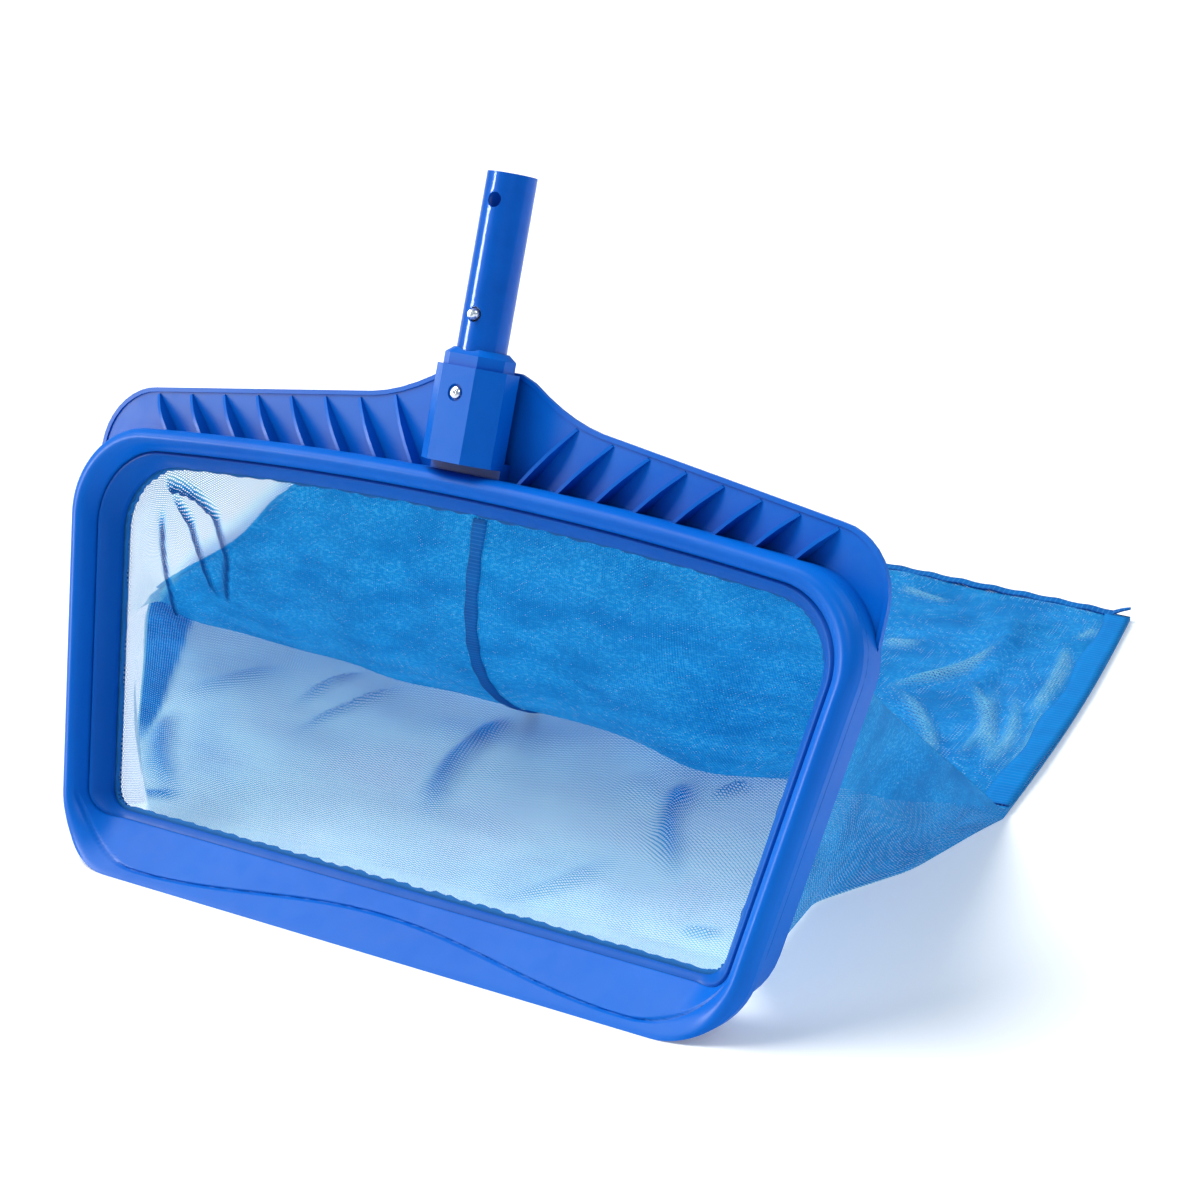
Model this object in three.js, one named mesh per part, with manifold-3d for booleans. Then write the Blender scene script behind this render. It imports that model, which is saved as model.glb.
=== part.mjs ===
// Leaf skimmer net: moulded scoop frame, aluminium socket tube with a snap clip, and a deep mesh bag.
// Millimetres, +Z up. The mouth faces -Y, the bag trails towards +Y along the floor plane z = 0.
// The frame is drawn upright in its own plane first, then leaned back about the edge of its lip.
import * as THREE from 'three';
import { mergeVertices } from 'three/addons/utils/BufferGeometryUtils.js';
import Module from 'manifold-3d';

const wasm = await Module();
wasm.setup();

// ---- Driving dimensions -------------------------------------------------------------------------
const LEAN = THREE.MathUtils.degToRad(18.75);   // how far the frame leans back at rest
const FOOT_Y = 3.17;          // middle of the flat under the lip, which becomes the origin

// Outlines of the frame in its own plane: x across, z up from the edge of the lip.
const MOUTH_EDGE = {          // inner edge, where the net shows
  topZ: 253, arch: 0.0002, sideX: 242, sideZ: 205, taper: 0.168, bottomZ: 36.5, topR: 38, bottomR: 14,
};
const RIM_EDGE = {            // outer edge of the front bezel
  topZ: 275.5, arch: 0.00021, sideX: 268.5, sideZ: 200, taper: 0.177, bottomZ: 0, topR: 50, bottomR: 50,
};
const BACK_EDGE = { ...RIM_EDGE, bottomZ: 20, bottomR: 44 };   // outer edge of the back frame

const SOCKET_Y = 14.3;        // axis of the socket tube, behind the front plane of the frame
const TUBE = { outerR: 14.3, innerR: 12.7, bottomZ: 282, topZ: 444.4, holeR: 4.3, lockHoleZ: 428.6 };
const FLANGE = { frontY: 28, backY: 31, gableZ: 322.4, slope: 0.14, rise: 17, riseFrom: 24, riseTo: 80 };
const FLANGE_CORNER = { x: 230, z: 249.5, r: 40.5 };
const FLANGE_BORDER = { width: 2.6, height: 0.9 };
const RIBS = { count: 8, footX: 37.1, footPitch: 25.6, headX: 62.7, headPitch: 24.43, thick: 2, frontY: 17.8 };
const BOSS = { halfX: 23.7, frontY: -5, backY: 33.6, cut: 12.7, bottomZ: 280.5, topZ: 334.5 };
const COLLAR = { halfX: 20.5, bevelX: 15.9, shoulderZ: 341.3, topZ: 345 };
const RIVET = { z: 319.5, shankR: 2.3, headR: 3.6, recessR: 4.9, recessDepth: 1.3, clearance: 0.35 };
const CLIP = { width: 7, thick: 0.8, bendR: 3.2, bendZ: 327, pivotZ: 329, tipZ: 374, tipY: 11.2, buttonZ: 364.1 };
const BUTTON = { baseY: 11, shoulderY: 14.9, tipY: 18.1, r: 3.3, tipR: 1.9 };

// The bag, in floor coordinates: where its flattened fold meets the floor and where it ends.
const BAG = {
  foldLeft: [-488, 386],
  foldRight: [219, 365],
  endLeft: [-585, 753],
  endRight: [135, 736],
  thick: 1.4,
  lowerZ: 0.75,
  upperZ: 3.3,
  mouthY: 35.6,
};
const SEAM = { sideWidth: 20, endWidth: 14, centreWidth: 8, thick: 1.1, z: 5.0 };

// ---- Finishes -----------------------------------------------------------------------------------
const plastic = new THREE.MeshStandardMaterial({ color: 0x1260d2, roughness: 0.38, metalness: 0 });
const plasticDark = new THREE.MeshStandardMaterial({ color: 0x0d4fb8, roughness: 0.42, metalness: 0 });
const anodised = new THREE.MeshStandardMaterial({ color: 0x0d55c4, roughness: 0.3, metalness: 0.6 });
const steel = new THREE.MeshStandardMaterial({ color: 0xc9ccd0, roughness: 0.3, metalness: 1 });
const mesh = new THREE.MeshStandardMaterial({ color: 0x2b97dd, roughness: 0.8, metalness: 0 });
const tape = new THREE.MeshStandardMaterial({ color: 0x0e5fae, roughness: 0.85, metalness: 0 });

// ---- Small helpers ------------------------------------------------------------------------------
const lerp = THREE.MathUtils.lerp;
const smooth = (a, b, v) => THREE.MathUtils.smoothstep(v, a, b);
const vec = (x, y, z) => new THREE.Vector3(x, y, z);

/** A closed three.js geometry as a Manifold, with its corners welded. */
function solid(geometry) {
  const bare = new THREE.BufferGeometry();
  bare.setAttribute('position', geometry.getAttribute('position'));
  if (geometry.index) bare.setIndex(geometry.index);
  const welded = mergeVertices(bare, 1e-4);
  const body = new wasm.Manifold(new wasm.Mesh({
    numProp: 3,
    vertProperties: new Float32Array(welded.getAttribute('position').array),
    triVerts: new Uint32Array(welded.index.array),
  }));
  return body;
}

/** A Manifold back as a three.js geometry. */
function toGeometry(body) {
  const result = body.getMesh();
  const geometry = new THREE.BufferGeometry();
  geometry.setAttribute('position', new THREE.BufferAttribute(new Float32Array(result.vertProperties), 3));
  geometry.setIndex(new THREE.BufferAttribute(new Uint32Array(result.triVerts), 1));
  return geometry;
}

/** Triangles of a closed tube of rings: rings[i][j], wrapping round in i and j. */
function loopGeometry(rings) {
  const positions = [];
  const indices = [];
  const n = rings.length;
  const m = rings[0].length;
  rings.forEach((ring) => ring.forEach((p) => positions.push(p.x, p.y, p.z)));
  for (let i = 0; i < n; i += 1) {
    for (let j = 0; j < m; j += 1) {
      const a = i * m + j;
      const b = i * m + ((j + 1) % m);
      const c = ((i + 1) % n) * m + ((j + 1) % m);
      const d = ((i + 1) % n) * m + j;
      indices.push(a, b, c, a, c, d);
    }
  }
  return indexed(positions, indices);
}

/** Triangles of a solid made by joining closed sections end to end, capped flat at both ends. */
function loftGeometry(sections) {
  const positions = [];
  const indices = [];
  const m = sections[0].length;
  sections.forEach((ring) => ring.forEach((p) => positions.push(p.x, p.y, p.z)));
  for (let i = 0; i < sections.length - 1; i += 1) {
    for (let j = 0; j < m; j += 1) {
      const a = i * m + j;
      const b = i * m + ((j + 1) % m);
      indices.push(a, b, b + m, a, b + m, a + m);
    }
  }
  const last = (sections.length - 1) * m;
  for (let j = 1; j < m - 1; j += 1) {
    indices.push(0, j + 1, j);
    indices.push(last, last + j, last + j + 1);
  }
  return indexed(positions, indices);
}

function indexed(positions, indices) {
  const geometry = new THREE.BufferGeometry();
  geometry.setAttribute('position', new THREE.Float32BufferAttribute(positions, 3));
  geometry.setIndex(indices);
  return outward(geometry);
}

/** Turns every face over if the solid was wound inside out. */
function outward(geometry) {
  const p = geometry.getAttribute('position');
  const index = geometry.index;
  const a = new THREE.Vector3();
  const b = new THREE.Vector3();
  const c = new THREE.Vector3();
  let volume = 0;
  for (let i = 0; i < index.count; i += 3) {
    a.fromBufferAttribute(p, index.getX(i));
    b.fromBufferAttribute(p, index.getX(i + 1));
    c.fromBufferAttribute(p, index.getX(i + 2));
    volume += a.dot(b.cross(c));
  }
  if (volume < 0) {
    for (let i = 0; i < index.count; i += 3) {
      const second = index.getX(i + 1);
      index.setX(i + 1, index.getX(i + 2));
      index.setX(i + 2, second);
    }
  }
  return geometry;
}

/** A sheet of even thickness about a grid of points grid[i][j]. */
function sheetGeometry(grid, thickness) {
  const rows = grid.length;
  const columns = grid[0].length;
  const at = (i, j) => grid[THREE.MathUtils.clamp(i, 0, rows - 1)][THREE.MathUtils.clamp(j, 0, columns - 1)];
  const upper = [];
  const lower = [];
  for (let i = 0; i < rows; i += 1) {
    for (let j = 0; j < columns; j += 1) {
      const along = at(i + 1, j).clone().sub(at(i - 1, j)).normalize();
      const across = at(i, j + 1).clone().sub(at(i, j - 1)).normalize();
      const normal = along.cross(across).normalize().multiplyScalar(thickness / 2);
      upper.push(at(i, j).clone().add(normal));
      lower.push(at(i, j).clone().sub(normal));
    }
  }
  const positions = [];
  [...upper, ...lower].forEach((p) => positions.push(p.x, p.y, p.z));
  const base = rows * columns;
  const indices = [];
  const quad = (a, b, c, d) => indices.push(a, b, c, a, c, d);
  for (let i = 0; i < rows - 1; i += 1) {
    for (let j = 0; j < columns - 1; j += 1) {
      const k = i * columns + j;
      quad(k, k + columns, k + columns + 1, k + 1);
      quad(base + k, base + k + 1, base + k + columns + 1, base + k + columns);
    }
  }
  const edge = [];
  for (let j = 0; j < columns - 1; j += 1) edge.push(j);
  for (let i = 0; i < rows - 1; i += 1) edge.push(i * columns + columns - 1);
  for (let j = columns - 1; j > 0; j -= 1) edge.push((rows - 1) * columns + j);
  for (let i = rows - 1; i > 0; i -= 1) edge.push(i * columns);
  edge.forEach((k, n) => {
    const next = edge[(n + 1) % edge.length];
    quad(k, next, base + next, base + k);
  });
  return indexed(positions, indices);
}

/** A cylinder of radius r along Y, from y0 to y1, at (x, z). */
function pinAlongY(r, y0, y1, x, z, segments = 24) {
  const geometry = new THREE.CylinderGeometry(r, r, y1 - y0, segments);
  geometry.translate(x, (y0 + y1) / 2, z);
  return solid(geometry);
}

/** A cylinder of radius r along Z about the socket axis. */
function pinAlongZ(r, z0, z1, segments = 48) {
  const geometry = new THREE.CylinderGeometry(r, r, z1 - z0, segments);
  geometry.rotateX(Math.PI / 2);
  geometry.translate(0, SOCKET_Y, (z0 + z1) / 2);
  return solid(geometry);
}

/** Leans a solid drawn in the plane of the upright frame back to the way it rests. */
function leaned(geometry) {
  return geometry.rotateX(-LEAN);
}

function leanedPoint(x, y, z) {
  return vec(x, y * Math.cos(LEAN) + z * Math.sin(LEAN), -y * Math.sin(LEAN) + z * Math.cos(LEAN));
}

// ---- Outlines -----------------------------------------------------------------------------------
const STEPS = { top: 12, topCorner: 11, side: 7, bottomCorner: 9, bottom: 16 };

/**
 * The outline as {x, z, low} points, clockwise from the middle of the top. Every outline has the same
 * number of points on each edge and corner, so that two can be joined. low is 0 on the top and the
 * sides and 1 along the bottom.
 */
function outline(edge) {
  const lean = Math.atan(edge.taper);
  const sideAt = (z) => edge.sideX + (z - edge.sideZ) * edge.taper;
  const inset = edge.topR * Math.hypot(1, edge.taper);
  let turn = 0.08;
  let centreZ = edge.topZ - edge.topR;
  let centreX = sideAt(centreZ) - inset;
  for (let pass = 0; pass < 20; pass += 1) {
    const touchX = centreX + edge.topR * Math.sin(turn);
    turn = Math.atan(2 * edge.arch * touchX);
    centreZ = edge.topZ - edge.arch * touchX * touchX - edge.topR * Math.cos(turn);
    centreX = sideAt(centreZ) - inset;
  }
  const half = [];
  const touchX = centreX + edge.topR * Math.sin(turn);
  for (let k = 0; k < STEPS.top; k += 1) {
    const x = (touchX * k) / STEPS.top;
    half.push({ x, z: edge.topZ - edge.arch * x * x, low: 0 });
  }
  for (let k = 0; k < STEPS.topCorner; k += 1) {
    const angle = lerp(Math.PI / 2 - turn, -lean, k / STEPS.topCorner);
    half.push({
      x: centreX + edge.topR * Math.cos(angle),
      z: centreZ + edge.topR * Math.sin(angle),
      low: 0,
    });
  }
  const lowZ = edge.bottomZ + edge.bottomR;
  const lowX = sideAt(lowZ) - edge.bottomR * Math.hypot(1, edge.taper);
  const sideStart = { x: centreX + edge.topR * Math.cos(lean), z: centreZ - edge.topR * Math.sin(lean) };
  const sideEnd = { x: lowX + edge.bottomR * Math.cos(lean), z: lowZ - edge.bottomR * Math.sin(lean) };
  for (let k = 0; k < STEPS.side; k += 1) {
    const f = k / STEPS.side;
    half.push({ x: lerp(sideStart.x, sideEnd.x, f), z: lerp(sideStart.z, sideEnd.z, f), low: 0 });
  }
  for (let k = 0; k < STEPS.bottomCorner; k += 1) {
    const f = k / STEPS.bottomCorner;
    const angle = lerp(-lean, -Math.PI / 2, f);
    half.push({
      x: lowX + edge.bottomR * Math.cos(angle),
      z: lowZ + edge.bottomR * Math.sin(angle),
      low: smooth(0, 1, f),
    });
  }
  for (let k = 0; k <= STEPS.bottom; k += 1) {
    half.push({ x: lowX * (1 - k / STEPS.bottom), z: edge.bottomZ, low: 1 });
  }
  const mirrored = half.slice(1, -1).reverse().map((p) => ({ ...p, x: -p.x }));
  return [...half, ...mirrored];
}

/**
 * A ring between two outlines. Each section point is {side: [share, y], low: [share, y]}, where share
 * runs from 0 on the inner outline to 1 on the outer one; side holds on the top and sides, low along
 * the bottom.
 */
function ringGeometry(inner, outer, section) {
  return loopGeometry(inner.map((p, i) => section.map(({ side, low }) => {
    const share = lerp(side[0], low[0], p.low);
    const y = lerp(side[1], low[1], p.low);
    return vec(lerp(p.x, outer[i].x, share), y, lerp(p.z, outer[i].z, share));
  })));
}

const mouthEdge = outline(MOUTH_EDGE);
const rimEdge = outline(RIM_EDGE);
const backEdge = outline(BACK_EDGE);

// ---- Front bezel: rounded bead round the mouth, widening into the scoop lip ----------------------
const BEZEL_SECTION = [
  { side: [0.40, 14.0], low: [0.12, 22.0] },
  { side: [0.43, 11.9], low: [0.15, 20.9] },
  { side: [0.52, 7.6], low: [0.28, 17.2] },
  { side: [0.62, 4.6], low: [0.44, 13.0] },
  { side: [0.74, 3.3], low: [0.60, 8.9] },
  { side: [0.86, 4.6], low: [0.76, 5.0] },
  { side: [0.95, 7.8], low: [0.90, 1.7] },
  { side: [1.00, 12.0], low: [1.00, 0.0] },
  { side: [1.00, 17.0], low: [0.9442, 6.0] },
  { side: [0.80, 17.0], low: [0.70, 11.5] },
  { side: [0.40, 17.0], low: [0.20, 24.0] },
];

/** The wave moulded into the lip: high in the middle, low near the ends, turning up round the corners. */
function lipLine() {
  const points = [];
  const waveHalf = 172;
  const endX = 232;
  const steps = 84;
  for (let k = -steps; k <= steps; k += 1) {
    const x = (endX * k) / steps;
    const across = Math.min(Math.abs(x) / waveHalf, 1);
    const past = Math.max(Math.abs(x) - waveHalf, 0);
    const z = 6.6 + 14.2 * (0.5 + 0.5 * Math.cos(Math.PI * across)) + 0.0072 * past * past + 0.00000115 * past ** 4;
    points.push(vec(x, 0, z));
  }
  return points;
}

/** A fine cut that follows the lip line into the front face, however deep the face lies there. */
function lipGroove() {
  const half = 0.75;
  const sections = lipLine().map((p, i, all) => {
    const before = all[Math.max(i - 1, 0)];
    const after = all[Math.min(i + 1, all.length - 1)];
    const along = after.clone().sub(before).normalize();
    const side = vec(-along.z, 0, along.x).multiplyScalar(half);
    const faceY = lipFaceY(p);
    const front = faceY - 3;
    const back = faceY + 0.8;
    return [
      vec(p.x - side.x, front, p.z - side.z),
      vec(p.x + side.x, front, p.z + side.z),
      vec(p.x, back, p.z),
    ];
  });
  return solid(loftGeometry(sections));
}

/** Depth of the lip's front face at a point of its plane, from the bezel section. */
function lipFaceY(p) {
  let best = { distance: Infinity, y: 0 };
  mouthEdge.forEach((inner, i) => {
    const outer = rimEdge[i];
    for (let k = 0; k < 8; k += 1) {
      const from = BEZEL_SECTION[k];
      const to = BEZEL_SECTION[Math.min(k + 1, 7)];
      for (let f = 0; f < 1; f += 0.25) {
        const share = lerp(lerp(from.side[0], to.side[0], f), lerp(from.low[0], to.low[0], f), inner.low);
        const y = lerp(lerp(from.side[1], to.side[1], f), lerp(from.low[1], to.low[1], f), inner.low);
        const x = lerp(inner.x, outer.x, share);
        const z = lerp(inner.z, outer.z, share);
        const distance = Math.hypot((x - p.x) * (inner.low > 0.99 ? 0.15 : 1), z - p.z);
        if (distance < best.distance) best = { distance, y };
      }
    }
  });
  return best.y;
}

function frontBezel() {
  const ring = solid(ringGeometry(mouthEdge, rimEdge, BEZEL_SECTION));
  return toGeometry(ring.subtract(lipGroove()));
}

// ---- Clamp ring: the funnel-shaped inner wall that holds the net against the back frame ----------
const CLAMP_SECTION = [
  { side: [0.375, 13.4], low: [0.095, 22.4] },
  { side: [0.31, 13.0], low: [0.07, 22.6] },
  { side: [0.15, 17.6], low: [0.03, 23.6] },
  { side: [0.02, 23.6], low: [0.00, 24.8] },
  { side: [0.02, 26.4], low: [0.00, 26.2] },
  { side: [0.375, 26.4], low: [0.095, 26.2] },
];

// ---- Hem of the net, gripped behind the clamp ring ----------------------------------------------
const HEM_SECTION = [
  { side: [0.05, 26.9], low: [0.02, 26.6] },
  { side: [0.05, 30.6], low: [0.02, 28.9] },
  { side: [0.32, 30.6], low: [0.14, 28.9] },
  { side: [0.32, 26.9], low: [0.14, 26.6] },
];

// ---- Back frame: channel ring, ribbed flange and socket boss ------------------------------------
const BACK_SECTION = [
  { side: [1.00, 17.4], low: [1.00, 25.4] },
  { side: [1.00, 32.6], low: [1.00, 32.8] },
  { side: [0.94, 34.0], low: [0.92, 34.0] },
  { side: [0.06, 34.0], low: [0.06, 34.0] },
  { side: [0.06, 31.2], low: [0.06, 29.4] },
  { side: [0.86, 31.2], low: [0.55, 29.4] },
  { side: [0.86, 17.4], low: [0.72, 25.4] },
];

function gable(x) {
  const a = Math.abs(x);
  const reach = THREE.MathUtils.clamp((FLANGE.riseTo - a) / (FLANGE.riseTo - FLANGE.riseFrom), 0, 1);
  return FLANGE.gableZ - FLANGE.slope * a + FLANGE.rise * reach ** 1.9;
}

/** Right half of the flange's free edge, from the boss outwards and down to the side of the ring. */
function flangeEdge() {
  const points = [];
  const tilt = Math.atan(FLANGE.slope);
  const cornerStart = FLANGE_CORNER.x + FLANGE_CORNER.r * Math.sin(tilt);
  for (let k = 0; k <= 24; k += 1) {
    const x = lerp(0, cornerStart, k / 24);
    points.push(new THREE.Vector2(x, gable(Math.max(x, FLANGE.riseFrom))));
  }
  for (let k = 1; k <= 9; k += 1) {
    const angle = lerp(Math.PI / 2 - tilt, 0, k / 9);
    points.push(new THREE.Vector2(
      FLANGE_CORNER.x + FLANGE_CORNER.r * Math.cos(angle),
      FLANGE_CORNER.z + FLANGE_CORNER.r * Math.sin(angle),
    ));
  }
  points.push(new THREE.Vector2(269.6, 228));
  return points;
}

/** An outline in the frame's plane pulled out from y0 to y1. */
function plate(points, y0, y1, holes = []) {
  const shape = new THREE.Shape(points);
  holes.forEach((hole) => shape.holes.push(new THREE.Path(hole)));
  const geometry = new THREE.ExtrudeGeometry(shape, { depth: y1 - y0, bevelEnabled: false });
  geometry.rotateX(Math.PI / 2);
  geometry.translate(0, y1, 0);
  return solid(geometry);
}

const mirrorX = (points) => points.map((p) => new THREE.Vector2(-p.x, p.y)).reverse();

function flange() {
  const free = flangeEdge();
  const wallShare = 0.94;
  const foot = [];
  for (let i = 0; i < STEPS.top + STEPS.topCorner + 1; i += 1) {
    const inner = mouthEdge[i];
    const outer = backEdge[i];
    const p = new THREE.Vector2(lerp(inner.x, outer.x, wallShare), lerp(inner.z, outer.z, wallShare));
    if (p.y > 216) foot.push(p);
  }
  const right = [...free, ...foot.slice(1).reverse()];
  const outlinePoints = [...right, foot[0], ...mirrorX(right.slice(1))];
  const body = plate(outlinePoints, FLANGE.frontY, FLANGE.backY);
  const inset = free.slice(1).map((p, i) => {
    const a = free[i];
    const b = free[Math.min(i + 2, free.length - 1)];
    const along = b.clone().sub(a).normalize();
    return new THREE.Vector2(p.x + along.y * FLANGE_BORDER.width, p.y - along.x * FLANGE_BORDER.width);
  });
  const band = [...free.slice(1), ...inset.reverse()];
  const border = plate(band, FLANGE.frontY - FLANGE_BORDER.height, FLANGE.frontY + 0.5);
  const otherBorder = plate(mirrorX(band), FLANGE.frontY - FLANGE_BORDER.height, FLANGE.frontY + 0.5);
  return body.add(border).add(otherBorder);
}

/** One rib: a thin web from the shelf to the flange, leaning outwards, with a bowed free edge. */
function rib(index, side) {
  const footX = RIBS.footX + index * RIBS.footPitch;
  const headX = RIBS.headX + index * RIBS.headPitch;
  const footZ = BACK_EDGE.topZ - BACK_EDGE.arch * footX * footX;
  const headZ = gable(headX) - 4.2;
  const run = vec(headX - footX, 0, headZ - footZ);
  const length = run.length();
  const sunk = 2.2 / length;
  const profile = [
    [-sunk, FLANGE.frontY + 1.5],
    [-sunk, RIBS.frontY],
    [0.03, RIBS.frontY],
    [0.30, RIBS.frontY + 0.9],
    [0.55, RIBS.frontY + 2.9],
    [0.80, RIBS.frontY + 6.2],
    [1.0, FLANGE.frontY - 0.7],
    [1.02, FLANGE.frontY + 1.5],
  ];
  const along = run.clone().normalize();
  const across = vec(along.z, 0, -along.x).multiplyScalar(RIBS.thick / 2);
  const face = (sign) => profile.map(([f, y]) => vec(
    side * (footX + along.x * f * length + sign * across.x),
    y,
    footZ + along.z * f * length + sign * across.z,
  ));
  return solid(loftGeometry([face(-1), face(1)]));
}

/** Octagon about the socket axis: half the width across X, scaled from the boss's own proportions. */
function octagon(halfX, z) {
  const scale = halfX / BOSS.halfX;
  const middleY = (BOSS.frontY + BOSS.backY) / 2;
  const halfY = ((BOSS.backY - BOSS.frontY) / 2) * scale;
  const cut = BOSS.cut * scale;
  const corners = [
    [halfX - cut, -halfY], [halfX, -halfY + cut], [halfX, halfY - cut], [halfX - cut, halfY],
    [-halfX + cut, halfY], [-halfX, halfY - cut], [-halfX, -halfY + cut], [-halfX + cut, -halfY],
  ];
  return corners.map(([x, y]) => vec(x, middleY + y, z));
}

function boss() {
  const body = solid(loftGeometry([octagon(BOSS.halfX, BOSS.bottomZ), octagon(BOSS.halfX, BOSS.topZ)]));
  const collar = solid(loftGeometry([
    octagon(COLLAR.halfX, BOSS.topZ - 1),
    octagon(COLLAR.halfX, COLLAR.shoulderZ),
    octagon(COLLAR.bevelX, COLLAR.topZ),
  ]));
  const heel = new THREE.BoxGeometry(2 * BOSS.halfX, 33 - 18.2, BOSS.bottomZ + 4 - 274);
  heel.translate(0, (33 + 18.2) / 2, (BOSS.bottomZ + 4 + 274) / 2);
  return body.add(collar).add(solid(heel));
}

function backFrame() {
  let body = solid(ringGeometry(mouthEdge, backEdge, BACK_SECTION));
  body = body.add(flange());
  for (let i = 0; i < RIBS.count; i += 1) {
    body = body.add(rib(i, 1)).add(rib(i, -1));
  }
  body = body.add(boss());
  body = body.subtract(pinAlongZ(TUBE.outerR + 0.3, TUBE.bottomZ - 0.5, COLLAR.topZ + 5));
  body = body.subtract(pinAlongY(RIVET.recessR, BOSS.frontY - 5, BOSS.frontY + RIVET.recessDepth, 0, RIVET.z));
  body = body.subtract(pinAlongY(RIVET.shankR + RIVET.clearance, BOSS.frontY - 5, BOSS.backY + 5, 0, RIVET.z));
  return toGeometry(body);
}

// ---- Socket tube --------------------------------------------------------------------------------
function socketTube() {
  let body = pinAlongZ(TUBE.outerR, TUBE.bottomZ, TUBE.topZ);
  body = body.subtract(pinAlongZ(TUBE.innerR, TUBE.bottomZ - 1, TUBE.topZ + 1));
  const front = SOCKET_Y - 20;
  const back = SOCKET_Y + 20;
  body = body.subtract(pinAlongY(TUBE.holeR, front, back, 0, TUBE.lockHoleZ));
  body = body.subtract(pinAlongY(TUBE.holeR, front, back, 0, CLIP.buttonZ));
  body = body.subtract(pinAlongY(RIVET.shankR + RIVET.clearance, front, back, 0, RIVET.z));
  return toGeometry(body);
}

// ---- Rivet through the boss and the tube --------------------------------------------------------
function rivet() {
  const seat = BOSS.frontY + RIVET.recessDepth - 0.3;
  const tail = BOSS.backY + 0.3;
  const profile = [
    [0, seat - 0.6], [0.7, seat - 0.6], [1.1, seat - 1.9], [2.2, seat - 1.8], [3.2, seat - 1.1],
    [RIVET.headR, seat], [RIVET.shankR, seat], [RIVET.shankR, tail], [RIVET.headR, tail],
    [3.2, tail + 1.2], [1.8, tail + 1.9], [0, tail + 2.0],
  ].map(([r, y]) => new THREE.Vector2(r, y));
  const geometry = new THREE.LatheGeometry(profile, 28);
  geometry.translate(0, 0, RIVET.z);
  return toGeometry(solid(geometry));
}

// ---- Snap clip: a spring strip bent to a V inside the tube, with a button on each arm ------------
/** A strip across X whose centre line runs through [y, z] points measured from the socket axis. */
function strip(line) {
  const half = CLIP.thick / 2;
  const edge = (sign) => line.map(([y, z], i) => {
    const before = line[Math.max(i - 1, 0)];
    const after = line[Math.min(i + 1, line.length - 1)];
    const along = new THREE.Vector2(after[0] - before[0], after[1] - before[1]).normalize();
    return [y - sign * along.y * half, z + sign * along.x * half];
  });
  const loop = [...edge(1), ...edge(-1).reverse()];
  const shape = new THREE.Shape(loop.map(([y, z]) => new THREE.Vector2(y, z)));
  const geometry = new THREE.ExtrudeGeometry(shape, { depth: CLIP.width, bevelEnabled: false });
  const place = new THREE.Matrix4().makeBasis(vec(0, 1, 0), vec(0, 0, 1), vec(1, 0, 0));
  geometry.applyMatrix4(place);
  geometry.translate(-CLIP.width / 2, SOCKET_Y, 0);
  return toGeometry(solid(geometry));
}

function clipBend() {
  const r = CLIP.bendR + CLIP.thick / 2;
  const line = [[-r, CLIP.pivotZ - 0.3]];
  for (let k = 0; k <= 14; k += 1) {
    const angle = Math.PI + (Math.PI * k) / 14;
    line.push([r * Math.cos(angle), CLIP.bendZ + r * Math.sin(angle)]);
  }
  line.push([r, CLIP.pivotZ - 0.3]);
  return strip(line);
}

function clipArm(side) {
  const startY = CLIP.bendR + CLIP.thick / 2;
  return strip([
    [side * startY, CLIP.pivotZ],
    [side * (startY + 0.4), CLIP.pivotZ + 4],
    [side * (CLIP.tipY - 0.15), CLIP.tipZ - 3],
    [side * (CLIP.tipY - 0.4), CLIP.tipZ],
  ]);
}

function clipButton(side) {
  const profile = [
    [0, BUTTON.baseY], [BUTTON.r, BUTTON.baseY], [BUTTON.r, BUTTON.shoulderY],
    [BUTTON.r - 0.3, BUTTON.shoulderY + 1.2], [BUTTON.r - 0.8, BUTTON.shoulderY + 2.2],
    [BUTTON.tipR, BUTTON.tipY - 0.25], [0.9, BUTTON.tipY - 0.03], [0, BUTTON.tipY],
  ].map(([r, y]) => new THREE.Vector2(r, y));
  const geometry = new THREE.LatheGeometry(profile, 24);
  if (side < 0) geometry.rotateX(Math.PI);
  geometry.translate(0, SOCKET_Y, CLIP.buttonZ);
  return toGeometry(solid(geometry));
}

// ---- Bag ----------------------------------------------------------------------------------------
// Point numbers round an outline: right half first, from the middle of the top.
const CORNER_TOP = STEPS.top + Math.round(STEPS.topCorner / 2);
const CORNER_LOW = STEPS.top + STEPS.topCorner + STEPS.side + Math.round(STEPS.bottomCorner / 2);

/** Where the net leaves the frame, at a point number of the outline (negative for the left half). */
function mouthPoint(number) {
  const p = mouthEdge[Math.abs(number)];
  const outer = backEdge[Math.abs(number)];
  const x = lerp(p.x, outer.x, 0.12) * Math.sign(number || 1);
  const z = lerp(p.z, outer.z, 0.12);
  return leanedPoint(x, BAG.mouthY, z);
}

const between = (a, b, f, z) => vec(lerp(a[0], b[0], f), lerp(a[1], b[1], f), z);

/** Upper sheet: from the top of the mouth down to the fold, then flat along the floor to the end. */
function topPanelGrid() {
  const count = 2 * CORNER_TOP;
  const rows = [[], [], [], [], []];
  for (let k = 0; k <= count; k += 1) {
    const f = k / count;
    const start = mouthPoint(k - CORNER_TOP);
    const fold = between(BAG.foldLeft, BAG.foldRight, f, BAG.upperZ);
    rows[0].push(start);
    rows[1].push(start.clone().lerp(fold, 1 / 3));
    rows[2].push(start.clone().lerp(fold, 2 / 3));
    rows[3].push(fold);
    rows[4].push(between(BAG.endLeft, BAG.endRight, f, BAG.upperZ));
  }
  return rows;
}

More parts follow.
